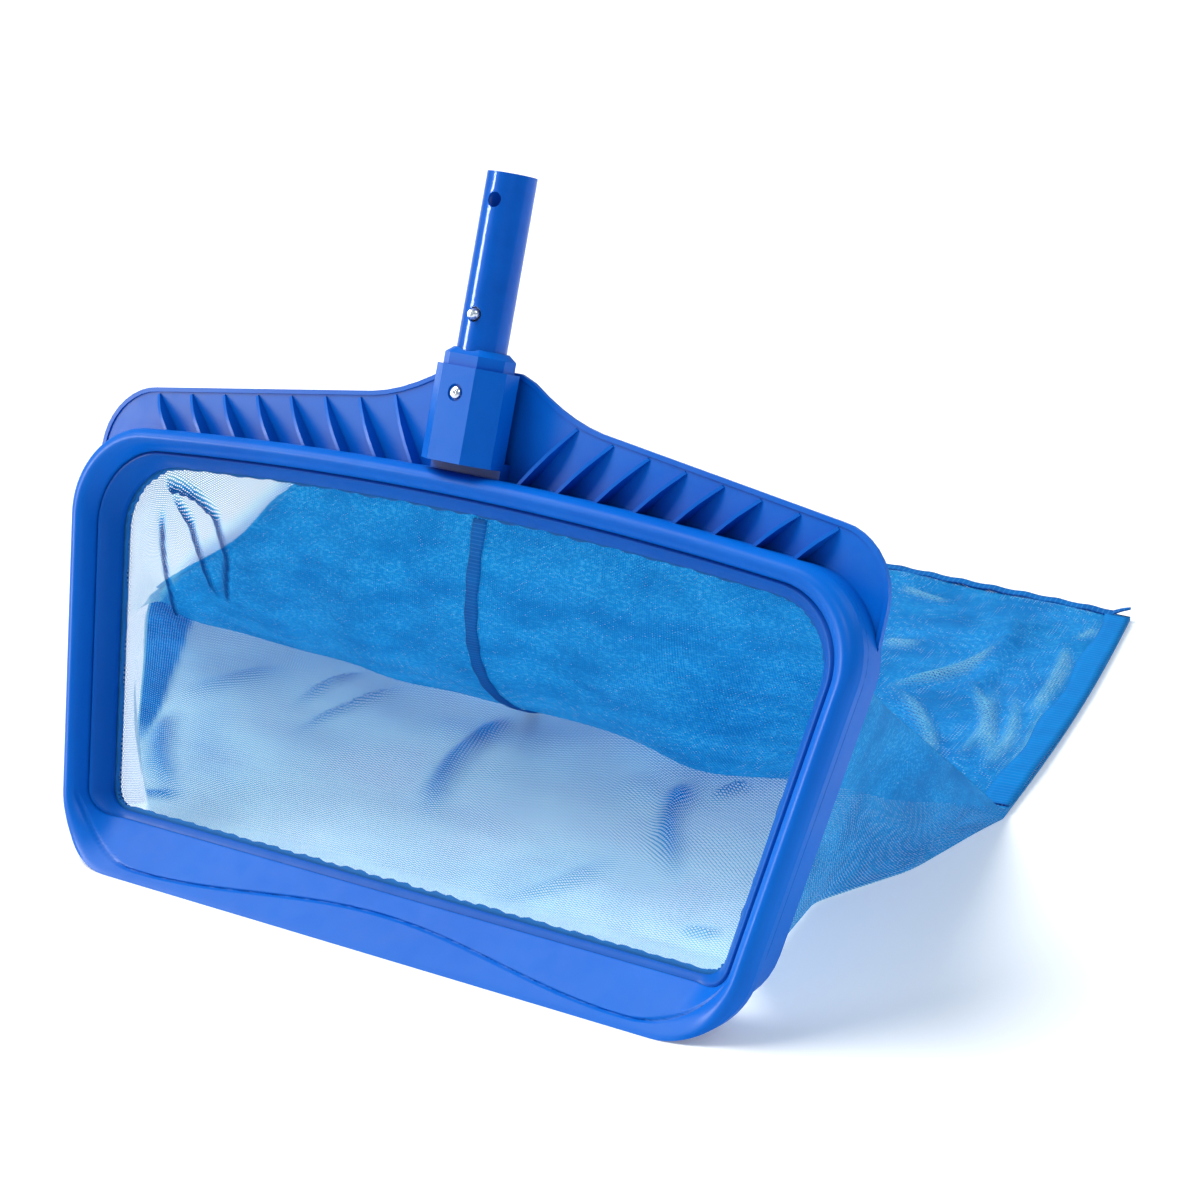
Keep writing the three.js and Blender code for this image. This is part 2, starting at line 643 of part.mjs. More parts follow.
/** Lower sheet: from the bottom of the mouth down to the floor and flat to the end. */
function bottomPanelGrid() {
  const low = STEPS.top + STEPS.topCorner + STEPS.side + STEPS.bottomCorner + STEPS.bottom;
  const count = 2 * (low - CORNER_LOW);
  const rows = [[], [], [], []];
  for (let k = 0; k <= count; k += 1) {
    const f = k / count;
    const number = k < count / 2 ? -(CORNER_LOW + k) : CORNER_LOW + count - k;
    const start = mouthPoint(number);
    const fold = between(BAG.foldLeft, BAG.foldRight, f, BAG.lowerZ);
    const landing = start.clone().lerp(fold, 0.17);
    landing.z = BAG.lowerZ;
    rows[0].push(start);
    rows[1].push(landing);
    rows[2].push(fold);
    rows[3].push(between(BAG.endLeft, BAG.endRight, f, BAG.lowerZ));
  }
  return rows;
}

/** Side of the bag: a triangle from the side of the mouth to the corner of the fold. */
function sideGrid(side) {
  const top = topPanelGrid();
  const bottom = bottomPanelGrid();
  const pick = (row) => (side < 0 ? row[0] : row[row.length - 1]);
  const fold = side < 0 ? BAG.foldLeft : BAG.foldRight;
  const corner = vec(fold[0], fold[1], (BAG.upperZ + BAG.lowerZ) / 2);
  const rows = [];
  const stations = [0, 0.17, 0.4, 0.65, 0.85, 0.93];
  stations.forEach((f) => {
    const upper = pick(top[0]).clone().lerp(vec(corner.x, corner.y, BAG.upperZ), f);
    const landing = pick(bottom[1]);
    const lower = f < 0.17
      ? pick(bottom[0]).clone().lerp(landing, f / 0.17)
      : landing.clone().lerp(vec(corner.x, corner.y, BAG.lowerZ), (f - 0.17) / 0.83);
    const row = [];
    const count = CORNER_LOW - CORNER_TOP;
    const height = upper.distanceTo(lower);
    const inset = 2.2 / height;
    for (let k = 0; k <= count; k += 1) {
      const g = lerp(inset, 1 - inset, k / count);
      const straight = upper.clone().lerp(lower, g);
      if (f === 0) {
        const index = CORNER_TOP + g * count;
        const whole = Math.floor(index);
        const a = mouthPoint(side * whole);
        const b = mouthPoint(side * Math.min(whole + 1, CORNER_LOW));
        row.push(a.lerp(b, index - whole));
      } else {
        row.push(straight);
      }
    }
    rows.push(row);
  });
  return rows;
}

/** The seam tape up the middle of the upper sheet, on the inside of the bag. */
function centreSeamGrid() {
  const top = topPanelGrid();
  const middle = Math.floor(top[0].length / 2);
  const start = top[0][middle];
  const end = top[3][middle];
  const along = end.clone().sub(start).normalize();
  const side = vec(1, 0, 0).addScaledVector(along, -along.x).normalize();
  const inwards = side.clone().cross(along).normalize();
  if (inwards.z > 0) inwards.negate();
  const drop = inwards.multiplyScalar(BAG.thick / 2 + SEAM.thick / 2 + 0.5);
  const at = (f, s) => start.clone().lerp(end, f).addScaledVector(side, s * SEAM.centreWidth / 2).add(drop);
  return [0.01, 0.5, 0.965].map((f) => [at(f, -1), at(f, 1)]);
}

/** A flat band lying on the tail of the bag, inwards from the line between two floor points. */
function bandGrid(from, to, inward, width) {
  const rows = [];
  for (let k = 0; k <= 6; k += 1) {
    const edge = between(from, to, k / 6, SEAM.z);
    rows.push([edge, edge.clone().addScaledVector(inward, width)]);
  }
  return rows;
}

const floorPoint = ([x, y]) => vec(x, y, 0);
const sideInward = floorPoint(BAG.foldRight).sub(floorPoint(BAG.foldLeft)).normalize();
const endInward = floorPoint(BAG.foldRight).sub(floorPoint(BAG.endRight)).normalize();

function shorten([x0, y0], [x1, y1], start, end) {
  const length = Math.hypot(x1 - x0, y1 - y0);
  const at = (d) => [lerp(x0, x1, d / length), lerp(y0, y1, d / length)];
  return [at(start), at(length - end)];
}

function sideSeam(side) {
  const [from, to] = side < 0
    ? shorten(BAG.foldLeft, BAG.endLeft, 4, SEAM.endWidth + 2)
    : shorten(BAG.foldRight, BAG.endRight, 4, SEAM.endWidth + 2);
  const inward = sideInward.clone().multiplyScalar(-side);
  return sheetGeometry(bandGrid(from, to, inward, SEAM.sideWidth), SEAM.thick);
}

function endHem() {
  const [from, to] = shorten(BAG.endLeft, BAG.endRight, 1, 1);
  return sheetGeometry(bandGrid(from, to, endInward, SEAM.endWidth), SEAM.thick);
}

// ---- Assembly -----------------------------------------------------------------------------------
const group = new THREE.Group();
group.name = 'leaf_skimmer_net';

function addPiece(name, geometry, material) {
  geometry.translate(0, -FOOT_Y, 0);
  geometry.deleteAttribute('normal');
  geometry.computeVertexNormals();
  const piece = new THREE.Mesh(geometry, material);
  piece.name = name;
  group.add(piece);
}

addPiece('front_bezel', leaned(frontBezel()), plastic);
addPiece('clamp_ring', leaned(ringGeometry(mouthEdge, rimEdge, CLAMP_SECTION)), plasticDark);
addPiece('back_frame', leaned(backFrame()), plastic);
addPiece('socket_tube', leaned(socketTube()), anodised);
addPiece('boss_rivet', leaned(rivet()), steel);
addPiece('clip_bend', leaned(clipBend()), steel);
addPiece('clip_front_arm', leaned(clipArm(-1)), steel);
addPiece('clip_rear_arm', leaned(clipArm(1)), steel);
addPiece('clip_front_button', leaned(clipButton(-1)), steel);
addPiece('clip_rear_button', leaned(clipButton(1)), steel);
addPiece('net_mouth_hem', leaned(ringGeometry(mouthEdge, rimEdge, HEM_SECTION)), tape);
addPiece('net_top_panel', sheetGeometry(topPanelGrid(), BAG.thick), mesh);
addPiece('net_bottom_panel', sheetGeometry(bottomPanelGrid(), BAG.thick), mesh);
addPiece('net_left_side', sheetGeometry(sideGrid(-1), BAG.thick), mesh);
addPiece('net_right_side', sheetGeometry(sideGrid(1), BAG.thick), mesh);
addPiece('net_centre_seam', sheetGeometry(centreSeamGrid(), SEAM.thick), tape);
addPiece('net_left_seam', sideSeam(-1), tape);
addPiece('net_right_seam', sideSeam(1), tape);
addPiece('net_end_hem', endHem(), tape);

export default group;
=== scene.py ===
"""Looks of the leaf skimmer net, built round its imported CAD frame.

Lengths are millimetres while a shape is drawn and metres once it becomes a mesh. The frame is drawn
upright in its own plane, x across and z up from the edge of the lip, and then leaned back.
"""
import math

import bpy
import numpy as np
from mathutils import Matrix, Vector


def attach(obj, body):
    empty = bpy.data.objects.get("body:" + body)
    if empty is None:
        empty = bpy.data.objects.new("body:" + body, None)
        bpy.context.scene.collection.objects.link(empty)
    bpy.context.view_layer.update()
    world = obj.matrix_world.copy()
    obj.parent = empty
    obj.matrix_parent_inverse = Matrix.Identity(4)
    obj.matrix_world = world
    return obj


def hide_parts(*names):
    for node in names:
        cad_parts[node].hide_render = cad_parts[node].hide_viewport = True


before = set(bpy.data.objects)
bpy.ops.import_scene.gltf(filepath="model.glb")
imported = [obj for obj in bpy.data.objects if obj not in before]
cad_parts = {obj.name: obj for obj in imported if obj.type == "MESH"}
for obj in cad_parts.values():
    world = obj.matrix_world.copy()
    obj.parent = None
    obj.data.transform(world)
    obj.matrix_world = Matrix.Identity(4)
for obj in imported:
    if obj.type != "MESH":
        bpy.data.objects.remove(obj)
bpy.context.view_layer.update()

# ---- Driving dimensions -----------------------------------------------------------------------------
MM = 0.001
LEAN = math.radians(18.75)   # how far the frame leans back at rest
FOOT_Y = 3.17                # middle of the flat under the lip, which becomes the origin

# Outlines of the frame: (top z, arch, side x, side z, taper, bottom z, top radius, bottom radius).
MOUTH_EDGE = (253.0, 0.0002, 242.0, 205.0, 0.168, 36.5, 38.0, 14.0)
RIM_EDGE = (275.5, 0.00021, 268.5, 200.0, 0.177, 0.0, 50.0, 50.0)
BACK_EDGE = (275.5, 0.00021, 268.5, 200.0, 0.177, 20.0, 50.0, 44.0)
STEPS = {"top": 40, "top_corner": 30, "side": 24, "bottom_corner": 18, "bottom": 60}

# Sections of the rings: (share, y) on the top and sides, then (share, y) along the bottom.
# The share runs from 0 on the mouth edge to 1 on the outer edge.
BEZEL_FRONT = [
    (0.40, 14.0, 0.12, 22.0), (0.43, 11.9, 0.15, 20.9), (0.52, 7.6, 0.28, 17.2), (0.62, 4.6, 0.44, 13.0),
    (0.74, 3.3, 0.60, 8.9), (0.86, 4.6, 0.76, 5.0), (0.95, 7.8, 0.90, 1.7), (1.00, 12.0, 1.00, 0.0),
]
BEZEL_REAR = [(1.00, 17.0, 0.9442, 6.0), (0.80, 17.0, 0.70, 11.5), (0.40, 17.0, 0.20, 24.0)]
CLAMP_FRONT = [
    (0.394, 13.9, 0.116, 22.1), (0.31, 13.0, 0.07, 22.6), (0.15, 17.6, 0.03, 23.6), (0.02, 23.6, 0.00, 24.8),
]
CLAMP_REAR = [(0.02, 26.4, 0.00, 26.2), (0.375, 26.4, 0.095, 26.2)]
HEM = [
    (-0.03, 27.0, -0.07, 26.7), (-0.03, 30.2, -0.07, 28.7),
    (0.30, 30.4, 0.13, 28.8), (0.30, 27.0, 0.13, 26.7),
]
HEM_WAVE = {"height": 1.2, "count": 110}

# The wave moulded into the lip, and the groove that draws it.
WAVE = {"low_z": 6.6, "rise": 14.2, "half": 172.0, "curl": 0.0072, "curl4": 1.15e-6, "end": 232.0}
GROOVE = {"half": 0.95, "depth": 1.5}

# The bag on the floor: its folds, its end and the edges where its walls meet the floor.
FOLD_LEFT = (-488.0, 386.0)
FOLD_RIGHT = (219.0, 365.0)
END_LEFT = (-585.0, 750.0)
END_RIGHT = (135.0, 733.0)
FLOOR_EDGE_RIGHT = [(0.17, 200, 92), (0.45, 181, 190), (0.72, 208, 264), (0.93, 215, 337), (1.0, 219, 362)]
FLOOR_EDGE_LEFT = [
    (0.17, -240, 92), (0.42, -318, 172), (0.70, -405, 280), (0.92, -467, 355), (1.0, -488, 384),
]
LOWER_Z = 0.9        # height of the lower sheet's middle on the floor
LAYER_GAP = 2.6      # from the lower layer to the upper one, in the flat tail
UPPER_START = {"left_z": 150.0, "right_z": 214.0}   # where the upper sheet's sides leave the rim
SAG = 30.0           # how far the sloping sheet hangs below a straight line
SEAM_DRIFT = 0.046   # how far the middle of the sheet shifts to the left, as a share of its width
PLEAT_DEPTH = 6.0
RIPPLE_DEPTH = 3.0
FOLDED_STRIP = {"width": 44.0, "from": 0.39, "over": 0.55, "power": 0.65}   # doubled net up the left edge
COUNTS = {"top": 264, "wall": 44, "bottom": 176, "slope": 74, "tail": 96}

# The weave. Half the width of a thread against its pitch comes from the share of the area it covers.
PITCH = 2.9 * MM
TAPE_WIDTH = {"centre": 9.0, "left": 5.0, "right": 20.0, "end": 9.0}
TAPE_THICK = {"centre": 0.7, "side": 0.7, "end": 1.2}

# Each stretch of net: the share that thread covers, and how pale it is painted, which is painted light;
# below 0 it is painted shade.
LOOKS = {
    "slope": {"cover": 0.80, "painted_lighting": 0.92},
    "pleat": {"cover": 0.93, "painted_lighting": -0.8},
    "tail": {"cover": 0.84, "painted_lighting": 0.04},
    "floor": {"cover": 0.40, "painted_lighting": 0.62},
    "folded": {"cover": 0.90, "painted_lighting": 0.0},
    "under_tail": {"cover": 0.80, "painted_lighting": 0.0},
    "right_wall": {"cover": 0.86, "painted_lighting": 0.05},
    "left_wall": {"cover": 0.55, "painted_lighting": 1.0},
}

# Colours, linear.
PLASTIC_BLUE = {"light": (0.0, 0.148, 0.64, 1), "dark": (0.0, 0.120, 0.57, 1)}
# Painted shade: a darker copy of the blue plastic, for the funnel ring that sits in shade inside the rim.
PLASTIC_SHADED = {"light": (0.0, 0.112, 0.50, 1), "dark": (0.0, 0.090, 0.44, 1)}
# Painted shade: the colour the plastic is darkened towards in creases, under the ribs and below the boss.
PLASTIC_PAINTED_CREVICE_SHADE = (0.0, 0.045, 0.26, 1)
TUBE_BLUE = {"light": (0.0, 0.118, 0.58, 1), "dark": (0.0, 0.093, 0.48, 1)}
BRIGHT_STEEL = {"light": (0.78, 0.80, 0.83, 1), "dark": (0.62, 0.65, 0.70, 1)}
TAPE_BLUE = {"light": (0.0, 0.150, 0.48, 1), "dark": (0.0, 0.100, 0.37, 1)}
BAND_BLUE = {"light": (0.0, 0.205, 0.57, 1), "dark": (0.0, 0.165, 0.50, 1)}
STREAKS = (1.0, 1.0, 0.05)   # drawn metal's grain, stretched along the tube
STITCH_BLUE = (0.06, 0.30, 0.66, 1)
NET_COLOURS = {
    "deep": (0.0, 0.200, 0.56, 1),
    "bright": (0.0, 0.310, 0.76, 1),
    # Painted highlight: the colour of glints on thread crossings.
    "knot_glint": (0.03, 0.46, 0.86, 1),
    # Painted highlight: the colour of fine fibre glints.
    "fibre_grain_and_glint": (0.02, 0.40, 0.84, 1),
    "speckle": (0.08, 0.54, 0.90, 1),
    # Painted light: pale net colours, as if lit over a bright floor.
    "painted_lit_dark": (0.12, 0.52, 0.74, 1),
    "painted_lit_light": (0.30, 0.75, 0.88, 1),
    "lit": (0.34, 0.54, 0.70, 1),
    "shadow": (0.0, 0.085, 0.33, 1),
}
FLOOR_COLOURS = ((0.93, 0.93, 0.93, 1), (0.96, 0.96, 0.96, 1))

# Light and camera, in metres.
SKY = {"colour": (0.62, 0.82, 1.0, 1), "strength": 0.38}
KEY = {"energy": 3.12, "angle": math.radians(42), "shines_along": (0.515, 0.19, -0.84)}
CAMERA_AT = Vector((1.021448, -1.321836, 0.805566))
CAMERA_RIGHT = Vector((0.837278, 0.546777, 0.0))
CAMERA_UP = Vector((-0.184141, 0.281974, 0.941585))
CAMERA_LENS = 97.776
CAMERA_SENSOR = 36.0


# ---- Small helpers ----------------------------------------------------------------------------------
def smoothstep(low, high, value):
    """0 at low and 1 at high, eased at both ends. low may be the larger one."""
    t = np.clip((np.asarray(value, float) - low) / (high - low), 0, 1)
    return t * t * (3 - 2 * t)


def leaned(points):
    """Points of the upright frame, leaned back about the edge of the lip."""
    p = np.asarray(points, float)
    c, s = math.cos(LEAN), math.sin(LEAN)
    return np.stack([p[..., 0], p[..., 1] * c + p[..., 2] * s - FOOT_Y, -p[..., 1] * s + p[..., 2] * c], -1)


def catmull(points, per):
    """A smooth run through the points, with `per` steps between each two."""
    p = np.asarray(points, float)
    ends = np.vstack([2 * p[0] - p[1], p, 2 * p[-1] - p[-2]])
    run = []
    for i in range(len(p) - 1):
        a, b, c, d = ends[i:i + 4]
        for t in np.arange(per) / per:
            run.append(0.5 * (2 * b + (c - a) * t + (2 * a - 5 * b + 4 * c - d) * t ** 2
                              + (3 * b - a - 3 * c + d) * t ** 3))
    run.append(p[-1])
    return np.array(run)


def value_noise(x, y, seed):
    """Smooth noise between -1 and 1 over the plane, made from a few turned waves."""
    rng = np.random.default_rng(seed)
    total = np.zeros(np.broadcast(x, y).shape)
    for _ in range(9):
        turn = rng.uniform(0, math.tau)
        scale = rng.uniform(0.6, 1.7)
        phase = rng.uniform(0, math.tau)
        total += np.sin((x * math.cos(turn) + y * math.sin(turn)) * scale + phase)
    return total / 4.0


def smooth_rows(grid, first, last, passes):
    """Evens out a grid of points along its rows, between two row numbers."""
    for _ in range(passes):
        between = 0.5 * (grid[first - 1:last - 1] + grid[first + 1:last + 1])
        grid[first:last] += 0.5 * (between - grid[first:last])
    return grid


def make_mesh(name, points, faces, smooth_angle=40, uv=None, values=None):
    """A smooth-shaded mesh object from points in millimetres."""
    mesh = bpy.data.meshes.new(name)
    mesh.from_pydata((np.asarray(points).reshape(-1, 3) * MM).tolist(), [], faces)
    mesh.update()
    mesh.shade_smooth()
    mesh.set_sharp_from_angle(angle=math.radians(smooth_angle))
    if uv is not None:
        corners = np.zeros(len(mesh.loops), np.int32)
        mesh.loops.foreach_get("vertex_index", corners)
        layer = mesh.uv_layers.new(name="weave")
        layer.data.foreach_set("uv", np.asarray(uv, np.float32)[corners].ravel())
    for key, value in (values or {}).items():
        attribute = mesh.attributes.new(key, "FLOAT", "POINT")
        attribute.data.foreach_set("value", np.asarray(value, np.float32).ravel())
    piece = bpy.data.objects.new(name, mesh)
    bpy.context.scene.collection.objects.link(piece)
    return piece


def grid_faces(rows, columns, wrap_rows=False, wrap_columns=False):
    """Four-sided faces between the points of a grid, which may close on itself in either direction."""
    faces = []
    for i in range(rows if wrap_rows else rows - 1):
        this_row = i * columns
        next_row = ((i + 1) % rows) * columns
        for j in range(columns if wrap_columns else columns - 1):
            beside = (j + 1) % columns
            faces.append((this_row + j, this_row + beside, next_row + beside, next_row + j))
    return faces


# ---- Outlines and rings -----------------------------------------------------------------------------
def outline(edge):
    """The outline as rows of x, z and low, clockwise from the middle of the top.

    low runs from 0 on the sides to 1 along the bottom.
    """
    top_z, arch, side_x, side_z, taper, bottom_z, top_r, bottom_r = edge
    lean = math.atan(taper)
    inset = top_r * math.hypot(1, taper)
    turn = 0.08
    centre_z = top_z - top_r
    centre_x = side_x + (centre_z - side_z) * taper - inset
    for _ in range(20):
        touch = centre_x + top_r * math.sin(turn)
        turn = math.atan(2 * arch * touch)
        centre_z = top_z - arch * touch * touch - top_r * math.cos(turn)
        centre_x = side_x + (centre_z - side_z) * taper - inset
    touch = centre_x + top_r * math.sin(turn)
    half = []
    for k in range(STEPS["top"]):
        x = touch * k / STEPS["top"]
        half.append((x, top_z - arch * x * x, 0.0))
    for k in range(STEPS["top_corner"]):
        angle = (math.pi / 2 - turn) + (-lean - math.pi / 2 + turn) * k / STEPS["top_corner"]
        half.append((centre_x + top_r * math.cos(angle), centre_z + top_r * math.sin(angle), 0.0))
    low_z = bottom_z + bottom_r
    low_x = side_x + (low_z - side_z) * taper - bottom_r * math.hypot(1, taper)
    start = (centre_x + top_r * math.cos(lean), centre_z - top_r * math.sin(lean))
    end = (low_x + bottom_r * math.cos(lean), low_z - bottom_r * math.sin(lean))
    for k in range(STEPS["side"]):
        f = k / STEPS["side"]
        half.append((start[0] + (end[0] - start[0]) * f, start[1] + (end[1] - start[1]) * f, 0.0))
    for k in range(STEPS["bottom_corner"]):
        f = k / STEPS["bottom_corner"]
        angle = -lean + (lean - math.pi / 2) * f
        low = f * f * (3 - 2 * f)
        half.append((low_x + bottom_r * math.cos(angle), low_z + bottom_r * math.sin(angle), low))
    for k in range(STEPS["bottom"] + 1):
        half.append((low_x * (1 - k / STEPS["bottom"]), bottom_z, 1.0))
    mirrored = [(-x, z, low) for x, z, low in half[-2:0:-1]]
    return np.array(half + mirrored)


MOUTH = outline(MOUTH_EDGE)
RIM = outline(RIM_EDGE)
BACK = outline(BACK_EDGE)


def ring_points(outer, section):
    """Points [outline number][section number] of a ring between the mouth edge and an outer edge."""
    section = np.asarray(section, float)
    low = MOUTH[:, 2:3]
    share = section[:, 0] * (1 - low) + section[:, 2] * low
    y = section[:, 1] * (1 - low) + section[:, 3] * low
    x = MOUTH[:, 0:1] * (1 - share) + outer[:, 0:1] * share
    z = MOUTH[:, 1:2] * (1 - share) + outer[:, 1:2] * share
    return np.stack([x, y, z], -1)


def ring_piece(name, points, smooth_angle=35):
    """A closed ring, leaned back with the frame."""
    n, m = points.shape[:2]
    return make_mesh(name, leaned(points), grid_faces(n, m, True, True), smooth_angle)


def eased(section, step=0.06):
    """A straight-sided run of a section with points close to each corner, so that it shades crisply."""
    run = [section[0]]
    for a, b in zip(section[:-1], section[1:]):
        run.append(a + (b - a) * step)
        run.append(b + (a - b) * step)
        run.append(b)
    return run


def wave_z(x):
    """Height of the lip line."""
    across = np.minimum(np.abs(x) / WAVE["half"], 1)
    past = np.maximum(np.abs(x) - WAVE["half"], 0)
    rise = WAVE["rise"] * (0.5 + 0.5 * np.cos(np.pi * across))
    return WAVE["low_z"] + rise + WAVE["curl"] * past ** 2 + WAVE["curl4"] * past ** 4


def front_bezel():
    """The outer front ring with its lip, and the wave-shaped groove across the lip."""
    front = catmull(BEZEL_FRONT, 12)
    rear = eased([front[-1], *np.asarray(BEZEL_REAR), front[0]])[1:-1]
    points = ring_points(RIM, np.vstack([front, rear]))
    face = points[:, :len(front)]
    line_z = wave_z(face[..., 0])
    run = np.gradient(face[..., 0], axis=0)
    slope = np.gradient(line_z, axis=0) / np.where(np.abs(run) < 1e-6, 1e9, run)
    distance = np.abs(face[..., 2] - line_z) / np.sqrt(1 + slope ** 2)
    near_end = smoothstep(WAVE["end"] + 4, WAVE["end"] - 12, np.abs(face[..., 0]))
    on_lip = (face[..., 2] < 70) & (MOUTH[:, 2:3] > 0.02)
    groove = np.clip(1 - distance / GROOVE["half"], 0, 1) ** 0.7
    face[..., 1] += GROOVE["depth"] * groove * near_end * on_lip
    return ring_piece("scoop_bezel", points, 50)


def clamp_ring():
    """The funnel-shaped inner ring that grips the net's hem."""
    front = catmull(CLAMP_FRONT, 5)
    rear = eased([front[-1], *np.asarray(CLAMP_REAR), front[0]])[1:-1]
    return ring_piece("mouth_funnel", ring_points(RIM, np.vstack([front, rear])), 35)


def mouth_hem():
    """The gathered hem of the net, a little wavy where it peeps out from under the funnel."""
    points = ring_points(RIM, eased(list(np.asarray(HEM)), 0.25)[:-1])
    n = len(points)
    turn = np.arange(n)[:, None] * math.tau / n
    wave = HEM_WAVE["height"] * (np.sin(turn * HEM_WAVE["count"]) + 0.6 * np.sin(turn * 37 + 1.0))
    inner = points.mean(axis=1, keepdims=True)
    outward = inner - inner.mean(axis=0)
    outward /= np.linalg.norm(outward, axis=-1, keepdims=True)
    points = points + outward * wave[..., None] * 0.6
    return ring_piece("net_hem_at_mouth", points, 60)


# ---- Bag --------------------------------------------------------------------------------------------
def nearest_number(x_sign, z):
    """Point number of the outline's side nearest to a height, on the right (1) or the left (-1)."""
    side = np.where((MOUTH[:, 0] * x_sign > 150) & (MOUTH[:, 2] < 0.5))[0]
    return int(side[np.argmin(np.abs(MOUTH[side, 1] - z))])


def rim_curve(share, y):
    """The closed curve round the mouth at a share and depth."""
    x = MOUTH[:, 0] * (1 - share) + BACK[:, 0] * share
    z = MOUTH[:, 1] * (1 - share) + BACK[:, 1] * share
    return leaned(np.stack([x, np.full_like(x, y), z], -1))


def stretch(curve, first, last, count):
    """`count` + 1 points evenly spaced along a closed curve from one point number on to another."""
    n = len(curve)
    numbers = np.arange(first, last + 1 if last > first else last + n + 1) % n
    run = curve[numbers]
    length = np.concatenate([[0], np.cumsum(np.linalg.norm(np.diff(run, axis=0), axis=1))])
    at = np.linspace(0, length[-1], count + 1)
    return np.stack([np.interp(at, length, run[:, k]) for k in range(3)], -1)


CORNER_LOW_RIGHT = STEPS["top"] + STEPS["top_corner"] + STEPS["side"] + STEPS["bottom_corner"] // 2
ANCHORS = (
    nearest_number(-1, UPPER_START["left_z"]),
    nearest_number(1, UPPER_START["right_z"]),
    CORNER_LOW_RIGHT,
    len(MOUTH) - CORNER_LOW_RIGHT,
)


def rim_loop(share, y):
    """The rim as four runs: upper sheet, right wall, lower sheet and left wall."""
    curve = rim_curve(share, y)
    counts = (COUNTS["top"], COUNTS["wall"], COUNTS["bottom"], COUNTS["wall"])
    ends = ANCHORS[1:] + ANCHORS[:1]
    return [stretch(curve, a, b, n) for a, b, n in zip(ANCHORS, ends, counts)]


def crease_y(x):
    """Where the upper sheet comes down on the lower one: a wavering line between the two folds."""
    f = np.clip((x - FOLD_LEFT[0]) / (FOLD_RIGHT[0] - FOLD_LEFT[0]), 0, 1)
    straight = FOLD_LEFT[1] + (FOLD_RIGHT[1] - FOLD_LEFT[1]) * f
    bow = 28 * smoothstep(0, 0.12, f) * smoothstep(1, 0.9, f)
    dip = 27 * np.exp(-((x - 30) / 48) ** 2) + 6 * np.exp(-((x + 209) / 30) ** 2)
    return straight - bow - dip


def edge_curve(rows, first, points):
    """A wall's lower edge: from the rim down to the floor and along it to the fold."""
    v = [0.0] + [p[0] for p in points]
    x = [first[0]] + [p[1] for p in points]
    y = [first[1]] + [p[2] for p in points]
    z = [first[2]] + [LOWER_Z] * len(points)
    curve = np.stack([np.interp(rows, v, k) for k in (x, y, z)], -1)
    return smooth_rows(curve, 1, len(curve) - 1, 6)


def ridge(x, y, fold):
    """How near points are to a fold, 0 to 1. A fold is (start, end, half width)."""
    (x0, y0), (x1, y1), width = fold
    dx, dy = x1 - x0, y1 - y0
    length = math.hypot(dx, dy)
    along = ((x - x0) * dx + (y - y0) * dy) / length ** 2
    across = ((x - x0) * dy - (y - y0) * dx) / length
    bend = 0.06 * length * np.sin(np.pi * np.clip(along, 0, 1))
    taper = smoothstep(-0.05, 0.3, along) * smoothstep(1.05, 0.6, along)
    return taper * np.exp(-((across - bend) / width) ** 2)


# Folds of the lower sheet, on the floor: start, end and half width, then height and extra cover. The extra
# cover also darkens each fold as painted shade.
LOWER_FOLDS = [
    (((-130, 335), (-80, 165), 8.0), 7.0, 0.36),
    (((26, 310), (100, 170), 8.0), 8.0, 0.34),
    (((60, 325), (54, 288), 5.0), 5.0, 0.22),
    (((-262, 352), (-264, 268), 4.0), 4.0, 0.26),
    (((-222, 340), (-233, 228), 4.0), 4.0, 0.26),
    (((-312, 325), (-338, 240), 9.0), 3.0, 0.14),
    (((-330, 275), (-190, 115), 16.0), 2.0, 0.08),
    (((-330, 225), (-228, 104), 8.0), 6.0, 0.34),
    (((-262, 104), (-228, 112), 5.0), 4.0, 0.45),
    (((-190, 300), (-60, 330), 20.0), 2.0, 0.10),
    (((-20, 300), (60, 270), 18.0), 2.0, 0.08),
    (((20, 76), (50, 190), 7.0), 2.5, 0.10),
    (((135, 118), (160, 128), 6.0), 4.0, 0.20),
    (((150, 270), (178, 150), 7.0), 5.0, 0.20),
]

# Folds of the tail, lying on the floor. Those with extra cover below 0 also get a painted highlight.
TAIL_FOLDS = [
    (((196, 385), (150, 560), 5.0), 6.0, -0.22),
    (((182, 395), (128, 560), 4.0), 5.0, -0.20),
    (((160, 400), (112, 560), 5.0), 5.0, -0.16),
    (((58, 500), (92, 640), 7.0), 6.0, -0.26),
    (((150, 400), (56, 515), 6.0), 6.0, -0.26),
    (((158, 520), (116, 665), 4.5), 6.0, -0.34),
    (((176, 420), (90, 560), 4.0), 5.0, -0.24),
    (((30, 470), (10, 560), 6.0), 5.0, -0.16),
    (((-30, 688), (20, 690), 5.0), 4.0, -0.30),
    (((122, 665), (124, 702), 5.0), 3.0, -0.24),
    (((60, 640), (96, 690), 8.0), 4.0, 0.10),
    (((110, 500), (60, 700), 9.0), 5.0, 0.10),
    (((10, 590), (40, 600), 9.0), 4.0, -0.20),
    (((-450, 420), (-330, 640), 12.0), 5.0, 0.0),
    (((-250, 400), (-200, 700), 16.0), 5.0, 0.0),
]


def floor_wrinkles(x, y, folds, seed, grain, height):
    """Height and extra cover of a sheet lying on the floor."""
    lift = height * (0.5 + 0.5 * value_noise(x / grain, y / grain, seed)) ** 2
    cover = 0.05 * value_noise(x / (1.6 * grain), y / (1.6 * grain), seed + 1)
    for fold, rise, extra in folds:
        near = ridge(x, y, fold)
        lift = lift + rise * near
        cover = cover + extra * near
    return lift, cover


